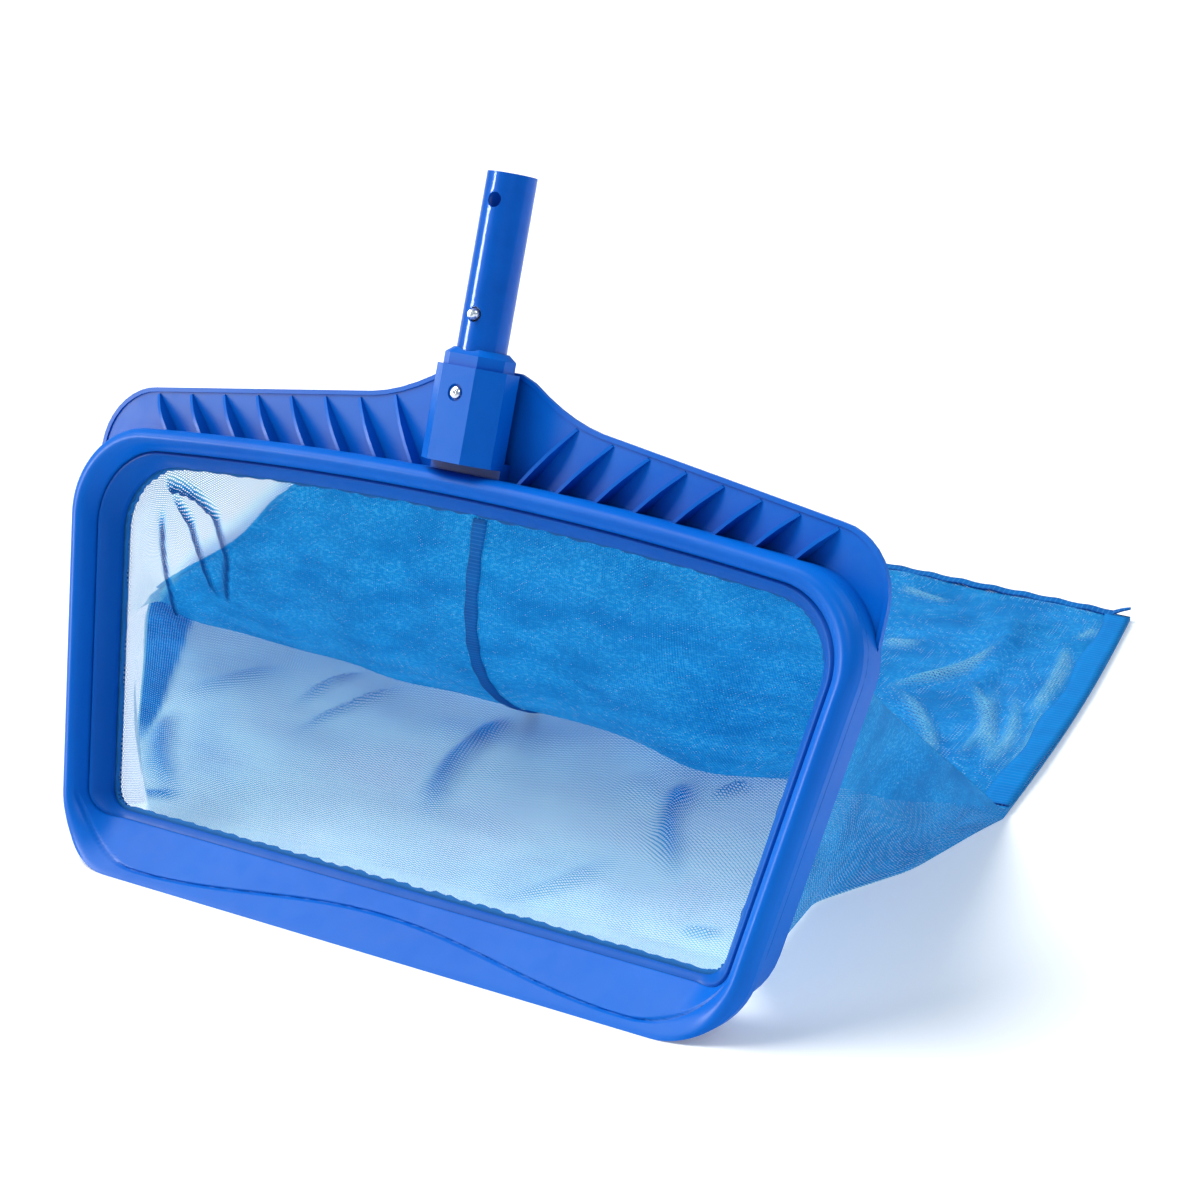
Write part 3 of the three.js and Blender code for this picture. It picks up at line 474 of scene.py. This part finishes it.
def between_points(first, last, f, z):
    """Points at shares f of the way between two places on the floor, at a height."""
    x = first[0] + (last[0] - first[0]) * f
    y = first[1] + (last[1] - first[1]) * f
    return np.stack([x, y, np.full_like(f, z)], -1)


def end_waver(f):
    """How far the end of the tail wanders from a straight line."""
    return 4 * value_noise(f * 5, np.zeros_like(f), 9)


def edge_bow(f, w):
    """How far the tail's sides wander from straight lines."""
    right = 5 * np.sin(np.pi * w) * smoothstep(0.4, 1, f)
    left = (13 * np.exp(-((w - 0.36) / 0.20) ** 2) - 4 * np.sin(np.pi * w)) * smoothstep(0.35, 0, f)
    return right + left


# Pleats that gather the upper sheet into the top left corner, each also painted as a line of shade: points
# along each, and its half width.
# f runs across the sheet from its left edge, and v down it from the rim.
PLEATS = [
    (((0.170, 0.04), (0.205, 0.08), (0.232, 0.14), (0.246, 0.30), (0.222, 0.64)), 0.0042),
    (((0.178, 0.10), (0.196, 0.18), (0.206, 0.34), (0.215, 0.62)), 0.0042),
    (((0.156, 0.14), (0.149, 0.28), (0.138, 0.52), (0.100, 0.86)), 0.0040),
]


def pleat(f, v, path, width):
    """How near points of the sheet are to a pleat that runs through the (f, v) points of a path."""
    path = np.asarray(path)
    middle = np.interp(v, path[:, 1], path[:, 0])
    level = np.interp(f, *path[:3].T) if path[1, 0] - path[0, 0] > 0.03 else v
    across = np.exp(-((f - middle) / width) ** 2)
    start, end = path[0, 1], path[-1, 1]
    near = across * smoothstep(start - 0.03, start + 0.05, v) * smoothstep(end, end - 0.25, v)
    if path[1, 0] - path[0, 0] > 0.03:
        reach = (f > path[0, 0]) & (f < path[2, 0])
        near = np.maximum(near, np.exp(-((v - level) / 0.014) ** 2) * reach)
    return np.minimum(1.6 * near, 1)


def upper_sheet(start):
    """Rows of the upper sheet from the rim down to the crease and flat to the end, with its cover."""
    f = np.linspace(0, 1, COUNTS["top"] + 1)
    v = np.linspace(0, 1, COUNTS["slope"] + 1)[:, None]
    crease_x = FOLD_LEFT[0] + (FOLD_RIGHT[0] - FOLD_LEFT[0]) * (f - SEAM_DRIFT * np.sin(np.pi * f))
    crease = np.stack([crease_x, crease_y(crease_x), np.full_like(f, LOWER_Z + LAYER_GAP)], -1)
    slope = start + (crease - start) * v[..., None]
    hang = np.sin(np.pi * f) ** 0.8 * SAG * 4 * v * (1 - v)
    ripple_share = np.sin(np.pi * v) * (0.4 + 0.6 * np.sin(f * 9 + 1) ** 2)
    ripple = RIPPLE_DEPTH * np.sin(f * 46 + 2.2 * v) * ripple_share
    slope[..., 2] -= hang * 0.85 + ripple
    slope[..., 1] -= hang * 0.45
    slope[..., 0] -= 16 * np.sin(np.pi * v) * np.sin(np.pi * f)
    # Painted light: the sloping sheet is made pale towards its top left corner.
    painted_lighting = LOOKS["slope"]["painted_lighting"] * smoothstep(1.07, 0.95, f / 0.32 + v / 0.86)
    cover = LOOKS["slope"]["cover"] - 0.22 * painted_lighting + 0.06 * value_noise(f * 30, v * 9, 4)
    # Each pleat also darkens the sheet towards the painted shadow colour.
    for path, width in PLEATS:
        near = pleat(f, v, path, width)
        slope[..., 2] -= PLEAT_DEPTH * near
        cover = cover + (LOOKS["pleat"]["cover"] - cover) * near
        painted_lighting = painted_lighting + (LOOKS["pleat"]["painted_lighting"] - painted_lighting) * near
    w = np.linspace(0, 1, COUNTS["tail"] + 1)[1:, None]
    end = between_points(END_LEFT, END_RIGHT, f, LOWER_Z + LAYER_GAP)
    tail = crease + (end - crease) * w[..., None]
    tail[..., 0] += edge_bow(f, w)
    tail[..., 1] += end_waver(f) * smoothstep(0.6, 1, w)
    lift, extra = floor_wrinkles(tail[..., 0], tail[..., 1], TAIL_FOLDS, 21, 17.0, 5.0)
    edge = smoothstep(0, 0.035, f) * smoothstep(1, 0.94, f) * smoothstep(1.0, 0.95, w)
    tail[..., 2] += lift * (0.06 + 0.94 * edge)
    grid = smooth_rows(np.concatenate([slope, tail]), COUNTS["slope"] - 5, COUNTS["slope"] + 6, 14)
    cover_tail = LOOKS["tail"]["cover"] + extra
    # Painted highlights: tail folds with extra cover below 0 are made paler.
    painted_lighting_tail = LOOKS["tail"]["painted_lighting"] + 0.58 * smoothstep(0.02, 0.30, -extra)
    return grid, np.concatenate([cover, cover_tail]), np.concatenate([painted_lighting, painted_lighting_tail])


def lower_sheet(left, right, start, rows):
    """Rows of the lower sheet, from the right wall to the left one, and on under the tail."""
    f = np.linspace(0, 1, COUNTS["bottom"] + 1)
    v = rows[:, None]
    grid = right[:, None] + (left - right)[:, None] * f[None, :, None]
    grid += (start - (start[0] + (start[-1] - start[0]) * f[:, None])) * smoothstep(0.17, 0, v)[..., None]
    lift, extra = floor_wrinkles(grid[..., 0], grid[..., 1], LOWER_FOLDS, 5, 21.0, 2.6)
    on_floor = smoothstep(0.14, 0.3, v) * smoothstep(1.0, 0.96, v)
    grid[..., 2] += lift * on_floor * smoothstep(0, 0.03, f) * smoothstep(1, 0.97, f)
    up = np.clip((v - FOLDED_STRIP["from"]) / FOLDED_STRIP["over"], 0, 1)
    strip = FOLDED_STRIP["width"] * up ** FOLDED_STRIP["power"]
    from_left = np.linalg.norm(grid - left[:, None], axis=-1)
    folded = smoothstep(strip + 2, strip - 2, from_left) * smoothstep(0.36, 0.5, v)
    cover = LOOKS["floor"]["cover"] + 0.14 * smoothstep(0.45, 1.0, v) + extra * smoothstep(0.05, 0.25, v)
    cover = cover + (LOOKS["folded"]["cover"] - cover) * folded
    # Painted shade: the lower sheet is made less pale towards the crease and along its folds.
    painted_lighting = LOOKS["floor"]["painted_lighting"] - 0.22 * smoothstep(0.5, 1.0, v) - 1.6 * np.clip(extra, 0, 0.36)
    painted_lighting = painted_lighting + (LOOKS["folded"]["painted_lighting"] - painted_lighting) * folded
    w = np.linspace(0, 1, COUNTS["tail"] + 1)[1:, None]
    end = between_points(END_RIGHT, END_LEFT, f, LOWER_Z)
    tail = grid[-1] + (end - grid[-1]) * w[..., None]
    tail[..., 0] += edge_bow(1 - f, w)
    tail[..., 1] += end_waver(1 - f) * smoothstep(0.6, 1, w)
    cover_tail = np.full(tail.shape[:2], LOOKS["under_tail"]["cover"])
    painted_lighting_tail = np.full(tail.shape[:2], LOOKS["under_tail"]["painted_lighting"])
    return (np.concatenate([grid, tail]), np.concatenate([cover, cover_tail]),
            np.concatenate([painted_lighting, painted_lighting_tail]))


def wall(upper, lower, start, rows, look):
    """Rows of a side wall between two edges, from the upper one to the lower one."""
    g = np.linspace(0, 1, COUNTS["wall"] + 1)
    grid = upper[:, None] + (lower - upper)[:, None] * g[None, :, None]
    chord = start[0] + (start[-1] - start[0]) * g[:, None]
    keep = np.zeros(len(upper))
    keep[:len(rows)] = (1 - rows) ** 2
    grid += (start - chord) * keep[:, None, None]
    height = np.linalg.norm(upper - lower, axis=-1)[:, None]
    v = np.linspace(0, 1, len(upper))[:, None]
    slack = 0.03 * height * np.sin(np.pi * g) * np.sin(np.pi * np.clip(v * 2, 0, 1))
    grid[..., 0] += slack * np.sin(v * 19 + g * 5)
    return grid, np.full(grid.shape[:2], look["cover"]), np.full(grid.shape[:2], look["painted_lighting"])


def bag():
    """The whole net as one loft: round the mouth, down to the folds and along the two flat layers."""
    rows = np.linspace(0, 1, COUNTS["slope"] + 1)
    gripped = [rim_loop(share, y) for share, y in ((0.20, 27.6), (0.045, 29.2), (0.03, 32.5))]
    start = rim_loop(0.08, 36.5)
    upper, *upper_looks = upper_sheet(start[0])
    right = edge_curve(rows, start[2][0], FLOOR_EDGE_RIGHT)
    left = edge_curve(rows, start[2][-1], FLOOR_EDGE_LEFT)
    lower, *lower_looks = lower_sheet(left, right, start[2], rows)
    right_wall, *right_looks = wall(upper[:, -1], lower[:, 0], start[1], rows, LOOKS["right_wall"])
    left_wall, *left_looks = wall(lower[:, -1], upper[:, 0], start[3], rows, LOOKS["left_wall"])
    body = np.concatenate([part[:, :-1] for part in (upper, right_wall, lower, left_wall)], axis=1)
    looks = [np.concatenate([part[:, :-1] for part in kind], axis=1)
             for kind in zip(upper_looks, right_looks, lower_looks, left_looks)]
    front = np.stack([np.concatenate([run[:-1] for run in loop]) for loop in gripped])
    points = np.concatenate([front, body])
    cover, painted_lighting = (np.concatenate([np.repeat(kind[:1], len(front), axis=0), kind]) for kind in looks)
    return points, cover, painted_lighting, upper


def weave_uv(points):
    """Flat coordinates of the cloth in metres: round the mouth, and along each thread from the rim."""
    around = np.linalg.norm(np.diff(points[3], axis=0, append=points[3][:1]), axis=-1)
    u = np.concatenate([[0], np.cumsum(around)[:-1]])
    step = np.linalg.norm(np.diff(points, axis=0), axis=-1)
    v = np.concatenate([np.zeros((1, points.shape[1])), np.cumsum(step, axis=0)])
    v = 0.5 * v + 0.5 * v.mean(axis=1, keepdims=True)
    return np.stack([np.broadcast_to(u, v.shape), v], -1).reshape(-1, 2) * MM


def half_thread(cover):
    """Half a thread's width against the pitch, for two crossing sets of threads that cover a share."""
    return (1 - np.sqrt(1 - np.clip(cover, 0.03, 0.97))) / 2


def net_bag(points, cover, painted_lighting):
    """The net as one sheet, with its two layers joined along the end."""
    rows, columns = points.shape[:2]
    faces = grid_faces(rows, columns, False, True)
    last = (rows - 1) * columns
    bottom_first = COUNTS["top"] + COUNTS["wall"]
    for j in range(COUNTS["top"]):
        under = last + bottom_first + COUNTS["bottom"] - j
        faces.append((last + j, last + j + 1, under - 1, under))
    values = {"half_thread": half_thread(cover), "painted_lighting": painted_lighting}
    return make_mesh("net_bag", points, faces, 180, weave_uv(points), values)


def strip_piece(name, centre, side, width, thick):
    """A tape along a line of points, with a direction across it at each one."""
    centre, side = np.asarray(centre, float), np.asarray(side, float)
    side = side / np.linalg.norm(side, axis=-1, keepdims=True)
    width = np.broadcast_to(width, len(centre))
    across = np.linspace(-0.5, 0.5, 5)
    points = centre[:, None] + side[:, None] * (across[None, :, None] * width[:, None, None])
    length = np.concatenate([[0], np.cumsum(np.linalg.norm(np.diff(centre, axis=0), axis=1))])
    u = across[None, :] * width[:, None]
    uv = np.stack([u, np.broadcast_to(length[:, None], u.shape)], -1).reshape(-1, 2) * MM
    piece = make_mesh(name, points, grid_faces(len(centre), 5), 180, uv)
    solidify = piece.modifiers.new("thickness", "SOLIDIFY")
    solidify.thickness = thick * MM
    solidify.offset = 0
    return piece


def centre_tape(upper):
    """The seam tape up the middle of the upper sheet, on the inside of the bag."""
    middle = int(np.argmin(np.abs(upper[0, :, 0] - 4)))
    rows = slice(1, COUNTS["slope"] + 1)
    line = upper[rows, middle].copy()
    across = upper[rows, middle + 3] - upper[rows, middle - 3]
    along = np.gradient(line, axis=0)
    normal = np.cross(across, along)
    normal /= np.linalg.norm(normal, axis=-1, keepdims=True)
    normal *= -np.sign(normal[:, 2:3])
    line += normal * 1.2
    line[:, 2] = np.maximum(line[:, 2], LOWER_Z + 1.2)
    swell = 1 + 0.10 * np.sin(np.arange(len(line)) * 0.7)
    return strip_piece("net_tape_centre", line, across, TAPE_WIDTH["centre"] * swell, TAPE_THICK["centre"])


def side_tape(name, upper, column, inward, broad):
    """A folded band along one edge of the tail."""
    rows = slice(COUNTS["slope"] + 2, COUNTS["slope"] + COUNTS["tail"] - 1)
    edge = upper[rows, column].copy()
    near = upper[rows, column + inward * 4]
    side = near - edge
    side[:, 2] = 0
    side /= np.linalg.norm(side, axis=-1, keepdims=True)
    width = broad * (0.9 + 0.1 * np.sin(np.arange(len(edge)) * 0.21))
    line = edge + side * width[:, None] / 2
    line[:, 2] = np.maximum(edge[:, 2], near[:, 2]) + 1.5
    return strip_piece(name, line, side, width, TAPE_THICK["side"])


def end_hem(upper):
    """The hem that closes the end of the bag, with a twisted ear at its right corner."""
    edge = upper[-1].copy()
    behind = upper[-5].copy()
    side = behind - edge
    side[:, 2] = 0
    side /= np.linalg.norm(side, axis=-1, keepdims=True)
    ear = 6
    width = np.full(len(edge), TAPE_WIDTH["end"])
    width[-ear:] *= np.linspace(0.95, 0.35, ear)
    line = edge + side * width[:, None] / 2
    line[:, 2] = edge[:, 2] + 1.4 + 0.8 * np.abs(np.sin(np.arange(len(edge)) * 0.33)) ** 3
    line[-ear:, 2] += np.linspace(0, 5, ear)
    return strip_piece("net_tape_end", line, side, width, TAPE_THICK["end"])


# ---- Materials --------------------------------------------------------------------------------------
class Shader:
    """A node material, with its nodes added and wired by short calls."""

    def __init__(self, name):
        self.material = bpy.data.materials.new(name)
        self.material.use_nodes = True
        self.nodes = self.material.node_tree.nodes
        self.links = self.material.node_tree.links
        self.nodes.clear()
        self.output = self.nodes.new("ShaderNodeOutputMaterial")
        self.coords = self.nodes.new("ShaderNodeTexCoord")

    def add(self, kind, inputs=None, **settings):
        node = self.nodes.new("ShaderNode" + kind)
        for key, value in settings.items():
            setattr(node, key, value)
        for key, value in (inputs or {}).items():
            self.put(node, key, value)
        return node

    def put(self, node, key, value):
        if isinstance(value, bpy.types.NodeSocket):
            self.links.new(value, node.inputs[key])
        else:
            node.inputs[key].default_value = value

    def math(self, operation, a, b=0.0):
        return self.add("Math", {0: a, 1: b}, operation=operation).outputs[0]

    def noise(self, scale, detail=3.0, vector=None, roughness=0.55):
        source = self.coords.outputs["Object"] if vector is None else vector
        return self.add("TexNoise", {"Vector": source, "Scale": scale, "Detail": detail,
                                     "Roughness": roughness}).outputs["Fac"]

    def ramp(self, value, low, high, to_low, to_high):
        return self.add("MapRange", {"Value": value, "From Min": low, "From Max": high, "To Min": to_low,
                                     "To Max": to_high}).outputs["Result"]

    def mix(self, factor, a, b):
        node = self.add("Mix", data_type="RGBA")
        self.put(node, 0, factor)
        self.put(node, 6, a)
        self.put(node, 7, b)
        return node.outputs[2]

    def bump(self, height, strength, distance):
        inputs = {"Height": height, "Strength": strength, "Distance": distance}
        return self.add("Bump", inputs).outputs["Normal"]

    def finish(self, shader):
        self.links.new(shader, self.output.inputs["Surface"])
        return self.material


def plastic_material(name, colours, roughness):
    """Moulded polypropylene: slightly mottled, with a fine orange-peel skin, scuffed roughness and painted
    shade darkening its crevices.
    """
    s = Shader(name)
    cloud = s.ramp(s.noise(9.0, 4.0), 0.3, 0.7, 0.0, 1.0)
    fine = s.noise(900.0, 2.0)
    scuff = s.ramp(s.noise(55.0, 6.0, roughness=0.7), 0.35, 0.75, -0.05, 0.10)
    colour = s.mix(cloud, colours["dark"], colours["light"])
    # Painted shade: where ambient occlusion finds the plastic enclosed, its colour is darkened towards the
    # crevice shade colour.
    openness = s.add("AmbientOcclusion", {"Distance": 0.022}, samples=8).outputs["AO"]
    colour = s.mix(s.ramp(openness, 0.10, 0.62, 0.75, 0.0), colour, PLASTIC_PAINTED_CREVICE_SHADE)
    rough = s.math("ADD", scuff, roughness)
    normal = s.bump(fine, 0.12, 0.0002)
    shader = s.add("BsdfPrincipled", {"Base Color": colour, "Roughness": rough, "Normal": normal,
                                      "IOR": 1.49, "Specular IOR Level": 0.11})
    return s.finish(shader.outputs[0])


def metal_material(name, colours, metallic, roughness, coat):
    """Drawn metal: long faint streaks in its roughness and bump, over a faint cloud in its colour."""
    s = Shader(name)
    turned = s.add("Mapping", {"Vector": s.coords.outputs["Object"], "Rotation": (LEAN, 0.0, 0.0),
                               "Scale": STREAKS}).outputs[0]
    streak = s.noise(600.0, 4.0, turned)
    cloud = s.ramp(s.noise(40.0, 3.0), 0.3, 0.7, 0.0, 1.0)
    colour = s.mix(cloud, colours["dark"], colours["light"])
    rough = s.ramp(streak, 0.3, 0.7, roughness - 0.05, roughness + 0.07)
    normal = s.bump(streak, 0.08, 0.0002)
    shader = s.add("BsdfPrincipled", {"Base Color": colour, "Metallic": metallic, "Roughness": rough,
                                      "Normal": normal, "Specular IOR Level": 0.05, "Coat Weight": coat,
                                      "Coat Roughness": 0.06})
    return s.finish(shader.outputs[0])


def thread_distance(s, pitch, wobble):
    """The cloth's own flat coordinates, and the distances to the nearest and next thread in pitches."""
    uv = s.add("UVMap", uv_map="weave").outputs[0]
    jitter = s.add("TexNoise", {"Vector": uv, "Scale": 160.0, "Detail": 2.0}).outputs["Color"]
    centred = s.add("VectorMath", {0: jitter, 1: (0.5, 0.5, 0.5)}, operation="SUBTRACT").outputs[0]
    shift = s.add("VectorMath", {0: centred, 3: wobble}, operation="SCALE").outputs[0]
    moved = s.add("VectorMath", {0: uv, 1: shift}, operation="ADD").outputs[0]
    split = s.add("SeparateXYZ", {0: moved})
    u, v = split.outputs[0], split.outputs[1]
    first = s.math("PINGPONG", s.math("DIVIDE", s.math("ADD", u, v), pitch), 0.5)
    second = s.math("PINGPONG", s.math("DIVIDE", s.math("SUBTRACT", u, v), pitch), 0.5)
    return uv, s.math("MINIMUM", first, second), s.math("MAXIMUM", first, second)


def mesh_material():
    """Knitted net: diamond holes between soft threads, thicker where the cloth is doubled, with painted
    light, shade and glints in its colour.
    """
    s = Shader("knitted_net")
    uv, distance, spread = thread_distance(s, PITCH, 0.0011)
    half = s.add("Attribute", attribute_name="half_thread").outputs["Fac"]
    gap = s.math("SUBTRACT", distance, half)
    thread = s.ramp(gap, -0.02, 0.02, 1.0, 0.0)
    patches = s.ramp(s.noise(26.0, 5.0, uv, 0.6), 0.32, 0.68, 0.0, 1.0)
    fibre_grain_and_glint = s.noise(5200.0, 2.0, uv)
    colour = s.mix(patches, NET_COLOURS["deep"], NET_COLOURS["bright"])
    # Painted highlights: thread crossings are lightened as glints, most in the bright patches.
    knot_glints = s.math("MULTIPLY", s.ramp(spread, 0.30, 0.14, 0.0, 1.0), s.ramp(patches, 0.2, 0.9, 0.25, 1.0))
    colour = s.mix(s.math("MULTIPLY", knot_glints, 0.6), colour, NET_COLOURS["knot_glint"])
    # Partly painted highlight: fine fibre streaks lighten the colour as glints; the same noise also gives
    # the threads grain in the bump.
    colour = s.mix(s.ramp(fibre_grain_and_glint, 0.50, 0.8, 0.0, 0.25), colour, NET_COLOURS["fibre_grain_and_glint"])
    speckle = s.math("MULTIPLY", s.ramp(s.noise(330.0, 1.0, uv), 0.50, 0.61, 0.0, 0.75), patches)
    colour = s.mix(speckle, colour, NET_COLOURS["speckle"])
    # Painted light and shade, from a vertex attribute: above 0 the net is mixed towards pale colours as if
    # lit over a bright floor, from 0.6 on towards a lit colour, and below 0 towards the shadow colour.
    painted_lighting = s.add("Attribute", attribute_name="painted_lighting").outputs["Fac"]
    mottle = s.ramp(s.noise(16.0, 6.0, uv, 0.65), 0.36, 0.64, 0.0, 1.0)
    painted_light_tint = s.mix(mottle, NET_COLOURS["painted_lit_dark"], NET_COLOURS["painted_lit_light"])
    colour = s.mix(s.ramp(painted_lighting, 0.0, 0.6, 0.0, 1.0), colour, painted_light_tint)
    colour = s.mix(s.ramp(painted_lighting, 0.6, 1.0, 0.0, 1.0), colour, NET_COLOURS["lit"])
    colour = s.mix(s.ramp(painted_lighting, -0.8, -0.1, 1.0, 0.0), colour, NET_COLOURS["shadow"])
    height = s.math("SUBTRACT", 0.5, distance)
    normal = s.bump(s.math("ADD", height, s.math("MULTIPLY", fibre_grain_and_glint, 0.2)), 0.5, 0.0004)
    yarn = s.add("BsdfPrincipled", {"Base Color": colour, "Roughness": 0.6, "Normal": normal,
                                    "Specular IOR Level": 0.06})
    glow = s.add("BsdfTranslucent", {"Color": colour})
    body = s.add("MixShader", {0: 0.35})
    s.links.new(yarn.outputs[0], body.inputs[1])
    s.links.new(glow.outputs[0], body.inputs[2])
    clear = s.add("BsdfTransparent")
    whole = s.add("MixShader", {0: thread})
    s.links.new(clear.outputs[0], whole.inputs[1])
    s.links.new(body.outputs[0], whole.inputs[2])
    return s.finish(whole.outputs[0])


def tape_material(name, colours):
    """Woven tape with a row of stitches across it."""
    s = Shader(name)
    uv, distance, _ = thread_distance(s, 0.9 * MM, 0.0002)
    split = s.add("SeparateXYZ", {0: uv})
    stitch = s.math("PINGPONG", s.math("DIVIDE", split.outputs[1], 4.2 * MM), 0.5)
    mark = s.ramp(stitch, 0.08, 0.16, 1.0, 0.0)
    cloud = s.noise(60.0, 4.0)
    colour = s.mix(s.ramp(cloud, 0.3, 0.7, 0.0, 1.0), colours["dark"], colours["light"])
    colour = s.mix(s.math("MULTIPLY", mark, 0.35), colour, STITCH_BLUE)
    height = s.math("ADD", s.math("SUBTRACT", 0.5, distance), mark)
    normal = s.bump(height, 0.5, 0.0003)
    shader = s.add("BsdfPrincipled", {"Base Color": colour, "Roughness": s.ramp(cloud, 0.3, 0.7, 0.66, 0.82),
                                      "Normal": normal, "Specular IOR Level": 0.1})
    return s.finish(shader.outputs[0])


def floor_material():
    """A plain pale floor, a little brighter than its light makes it."""
    s = Shader("pale_floor")
    colour = s.mix(s.noise(1.5, 2.0), *FLOOR_COLOURS)
    shader = s.add("BsdfPrincipled", {"Base Color": colour, "Roughness": 0.8, "Specular IOR Level": 0.1,
                                      "Emission Color": (1, 1, 1, 1), "Emission Strength": 0.18})
    return s.finish(shader.outputs[0])


# ---- Build the pieces -------------------------------------------------------------------------------
BLUE = plastic_material("blue_plastic", PLASTIC_BLUE, 0.38)
SHADED_BLUE = plastic_material("shaded_blue_plastic", PLASTIC_SHADED, 0.44)
TUBE = metal_material("blue_tube", TUBE_BLUE, 0.04, 0.34, 0.30)
STEEL = metal_material("bright_steel", BRIGHT_STEEL, 0.9, 0.25, 0.0)
NET = mesh_material()
TAPE = tape_material("blue_tape", TAPE_BLUE)
BAND = tape_material("blue_band", BAND_BLUE)


def place(piece, material, body="skimmer", stands_for=()):
    """Gives a piece its material and body, and hides the CAD nodes that it replaces."""
    piece.data.materials.clear()
    piece.data.materials.append(material)
    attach(piece, body)
    if stands_for:
        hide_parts(*stands_for)
    return piece


def dress(node, material, bevel):
    """Keeps a CAD node, with its edges rounded and its faces shaded smoothly."""
    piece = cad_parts[node]
    mesh = piece.data
    if "custom_normal" in mesh.attributes:
        mesh.attributes.remove(mesh.attributes["custom_normal"])
    mesh.shade_smooth()
    weld = piece.modifiers.new("weld", "WELD")
    weld.merge_threshold = 0.00002
    flat = piece.modifiers.new("flat faces", "DECIMATE")
    flat.decimate_type = "DISSOLVE"
    flat.angle_limit = math.radians(1.0)
    round_edges = piece.modifiers.new("rounded edges", "BEVEL")
    round_edges.width = bevel * MM
    round_edges.segments = 2
    round_edges.limit_method = "ANGLE"
    round_edges.angle_limit = math.radians(32)
    round_edges.harden_normals = True
    mesh.materials.clear()
    mesh.materials.append(material)
    return piece


place(front_bezel(), BLUE, stands_for=["front_bezel"])
# The funnel ring takes the darker copy of the blue plastic, which is painted shade.
place(clamp_ring(), SHADED_BLUE, stands_for=["clamp_ring"])
hem = place(mouth_hem(), TAPE, stands_for=["net_mouth_hem"])
dress("back_frame", BLUE, 0.6)
dress("socket_tube", TUBE, 0.2)
dress("boss_rivet", STEEL, 0.15)
for clip_node in ("clip_bend", "clip_front_arm", "clip_rear_arm", "clip_front_button", "clip_rear_button"):
    dress(clip_node, STEEL, 0.12)

bag_points, bag_cover, bag_painted_lighting, upper_rows = bag()
net = place(net_bag(bag_points, bag_cover, bag_painted_lighting), NET,
            stands_for=["net_top_panel", "net_bottom_panel", "net_left_side", "net_right_side"])
tapes = [
    place(centre_tape(upper_rows), TAPE, stands_for=["net_centre_seam"]),
    place(side_tape("net_tape_left", upper_rows, 0, 1, TAPE_WIDTH["left"]), BAND,
          stands_for=["net_left_seam"]),
    place(side_tape("net_tape_right", upper_rows, COUNTS["top"], -1, TAPE_WIDTH["right"]), BAND,
          stands_for=["net_right_seam"]),
    place(end_hem(upper_rows), TAPE, stands_for=["net_end_hem"]),
]

# ---- Floor, light and camera ------------------------------------------------------------------------
REACH = 9000
floor_corners = [[-REACH, -REACH, 0], [REACH, -REACH, 0], [REACH, REACH, 0], [-REACH, REACH, 0]]
floor = make_mesh("floor", floor_corners, [(0, 1, 2, 3)])
floor.data.materials.append(floor_material())

scene = bpy.context.scene
scene.view_settings.view_transform = "Standard"
world = bpy.data.worlds.new("studio")
scene.world = world
world.use_nodes = True
background = world.node_tree.nodes["Background"]
background.inputs["Color"].default_value = SKY["colour"]
background.inputs["Strength"].default_value = SKY["strength"]


def area_light(name, place_at, aim_at, size, power, lights_surfaces=True):
    """A rectangular lamp. One that doesn't light surfaces only shows in their gloss."""
    lamp = bpy.data.lights.new(name, "AREA")
    lamp.shape = "RECTANGLE"
    lamp.size, lamp.size_y = size
    lamp.energy = power
    light = bpy.data.objects.new(name, lamp)
    light.location = place_at
    light.visible_diffuse = lights_surfaces
    light.rotation_euler = (Vector(aim_at) - Vector(place_at)).to_track_quat("-Z", "Y").to_euler()
    scene.collection.objects.link(light)
    return light


area_light("side strip", (-2.05, -1.38, 0.85), (0.0, 0.12, 0.36), (0.55, 1.5), 130, False)
area_light("rear soft box", (1.3, 1.1, 1.5), (0.15, 0.1, 0.2), (1.0, 1.0), 9)
area_light("front soft box", (1.3, -1.35, 1.9), (0.2, 0.05, 0.2), (0.45, 0.45), 20, False)
key_lamp = bpy.data.lights.new("key", "SUN")
key_lamp.energy = KEY["energy"]
key_lamp.angle = KEY["angle"]
key = bpy.data.objects.new("key", key_lamp)
key.rotation_euler = Vector(KEY["shines_along"]).to_track_quat("-Z", "Y").to_euler()
scene.collection.objects.link(key)

camera_data = bpy.data.cameras.new("camera")
camera_data.sensor_width = CAMERA_SENSOR
camera_data.lens = CAMERA_LENS
camera_data.clip_end = 60.0
camera = bpy.data.objects.new("camera", camera_data)
turned = Matrix((CAMERA_RIGHT, CAMERA_UP, CAMERA_RIGHT.cross(CAMERA_UP))).transposed().to_4x4()
camera.matrix_world = Matrix.Translation(CAMERA_AT) @ turned
scene.collection.objects.link(camera)
scene.camera = camera
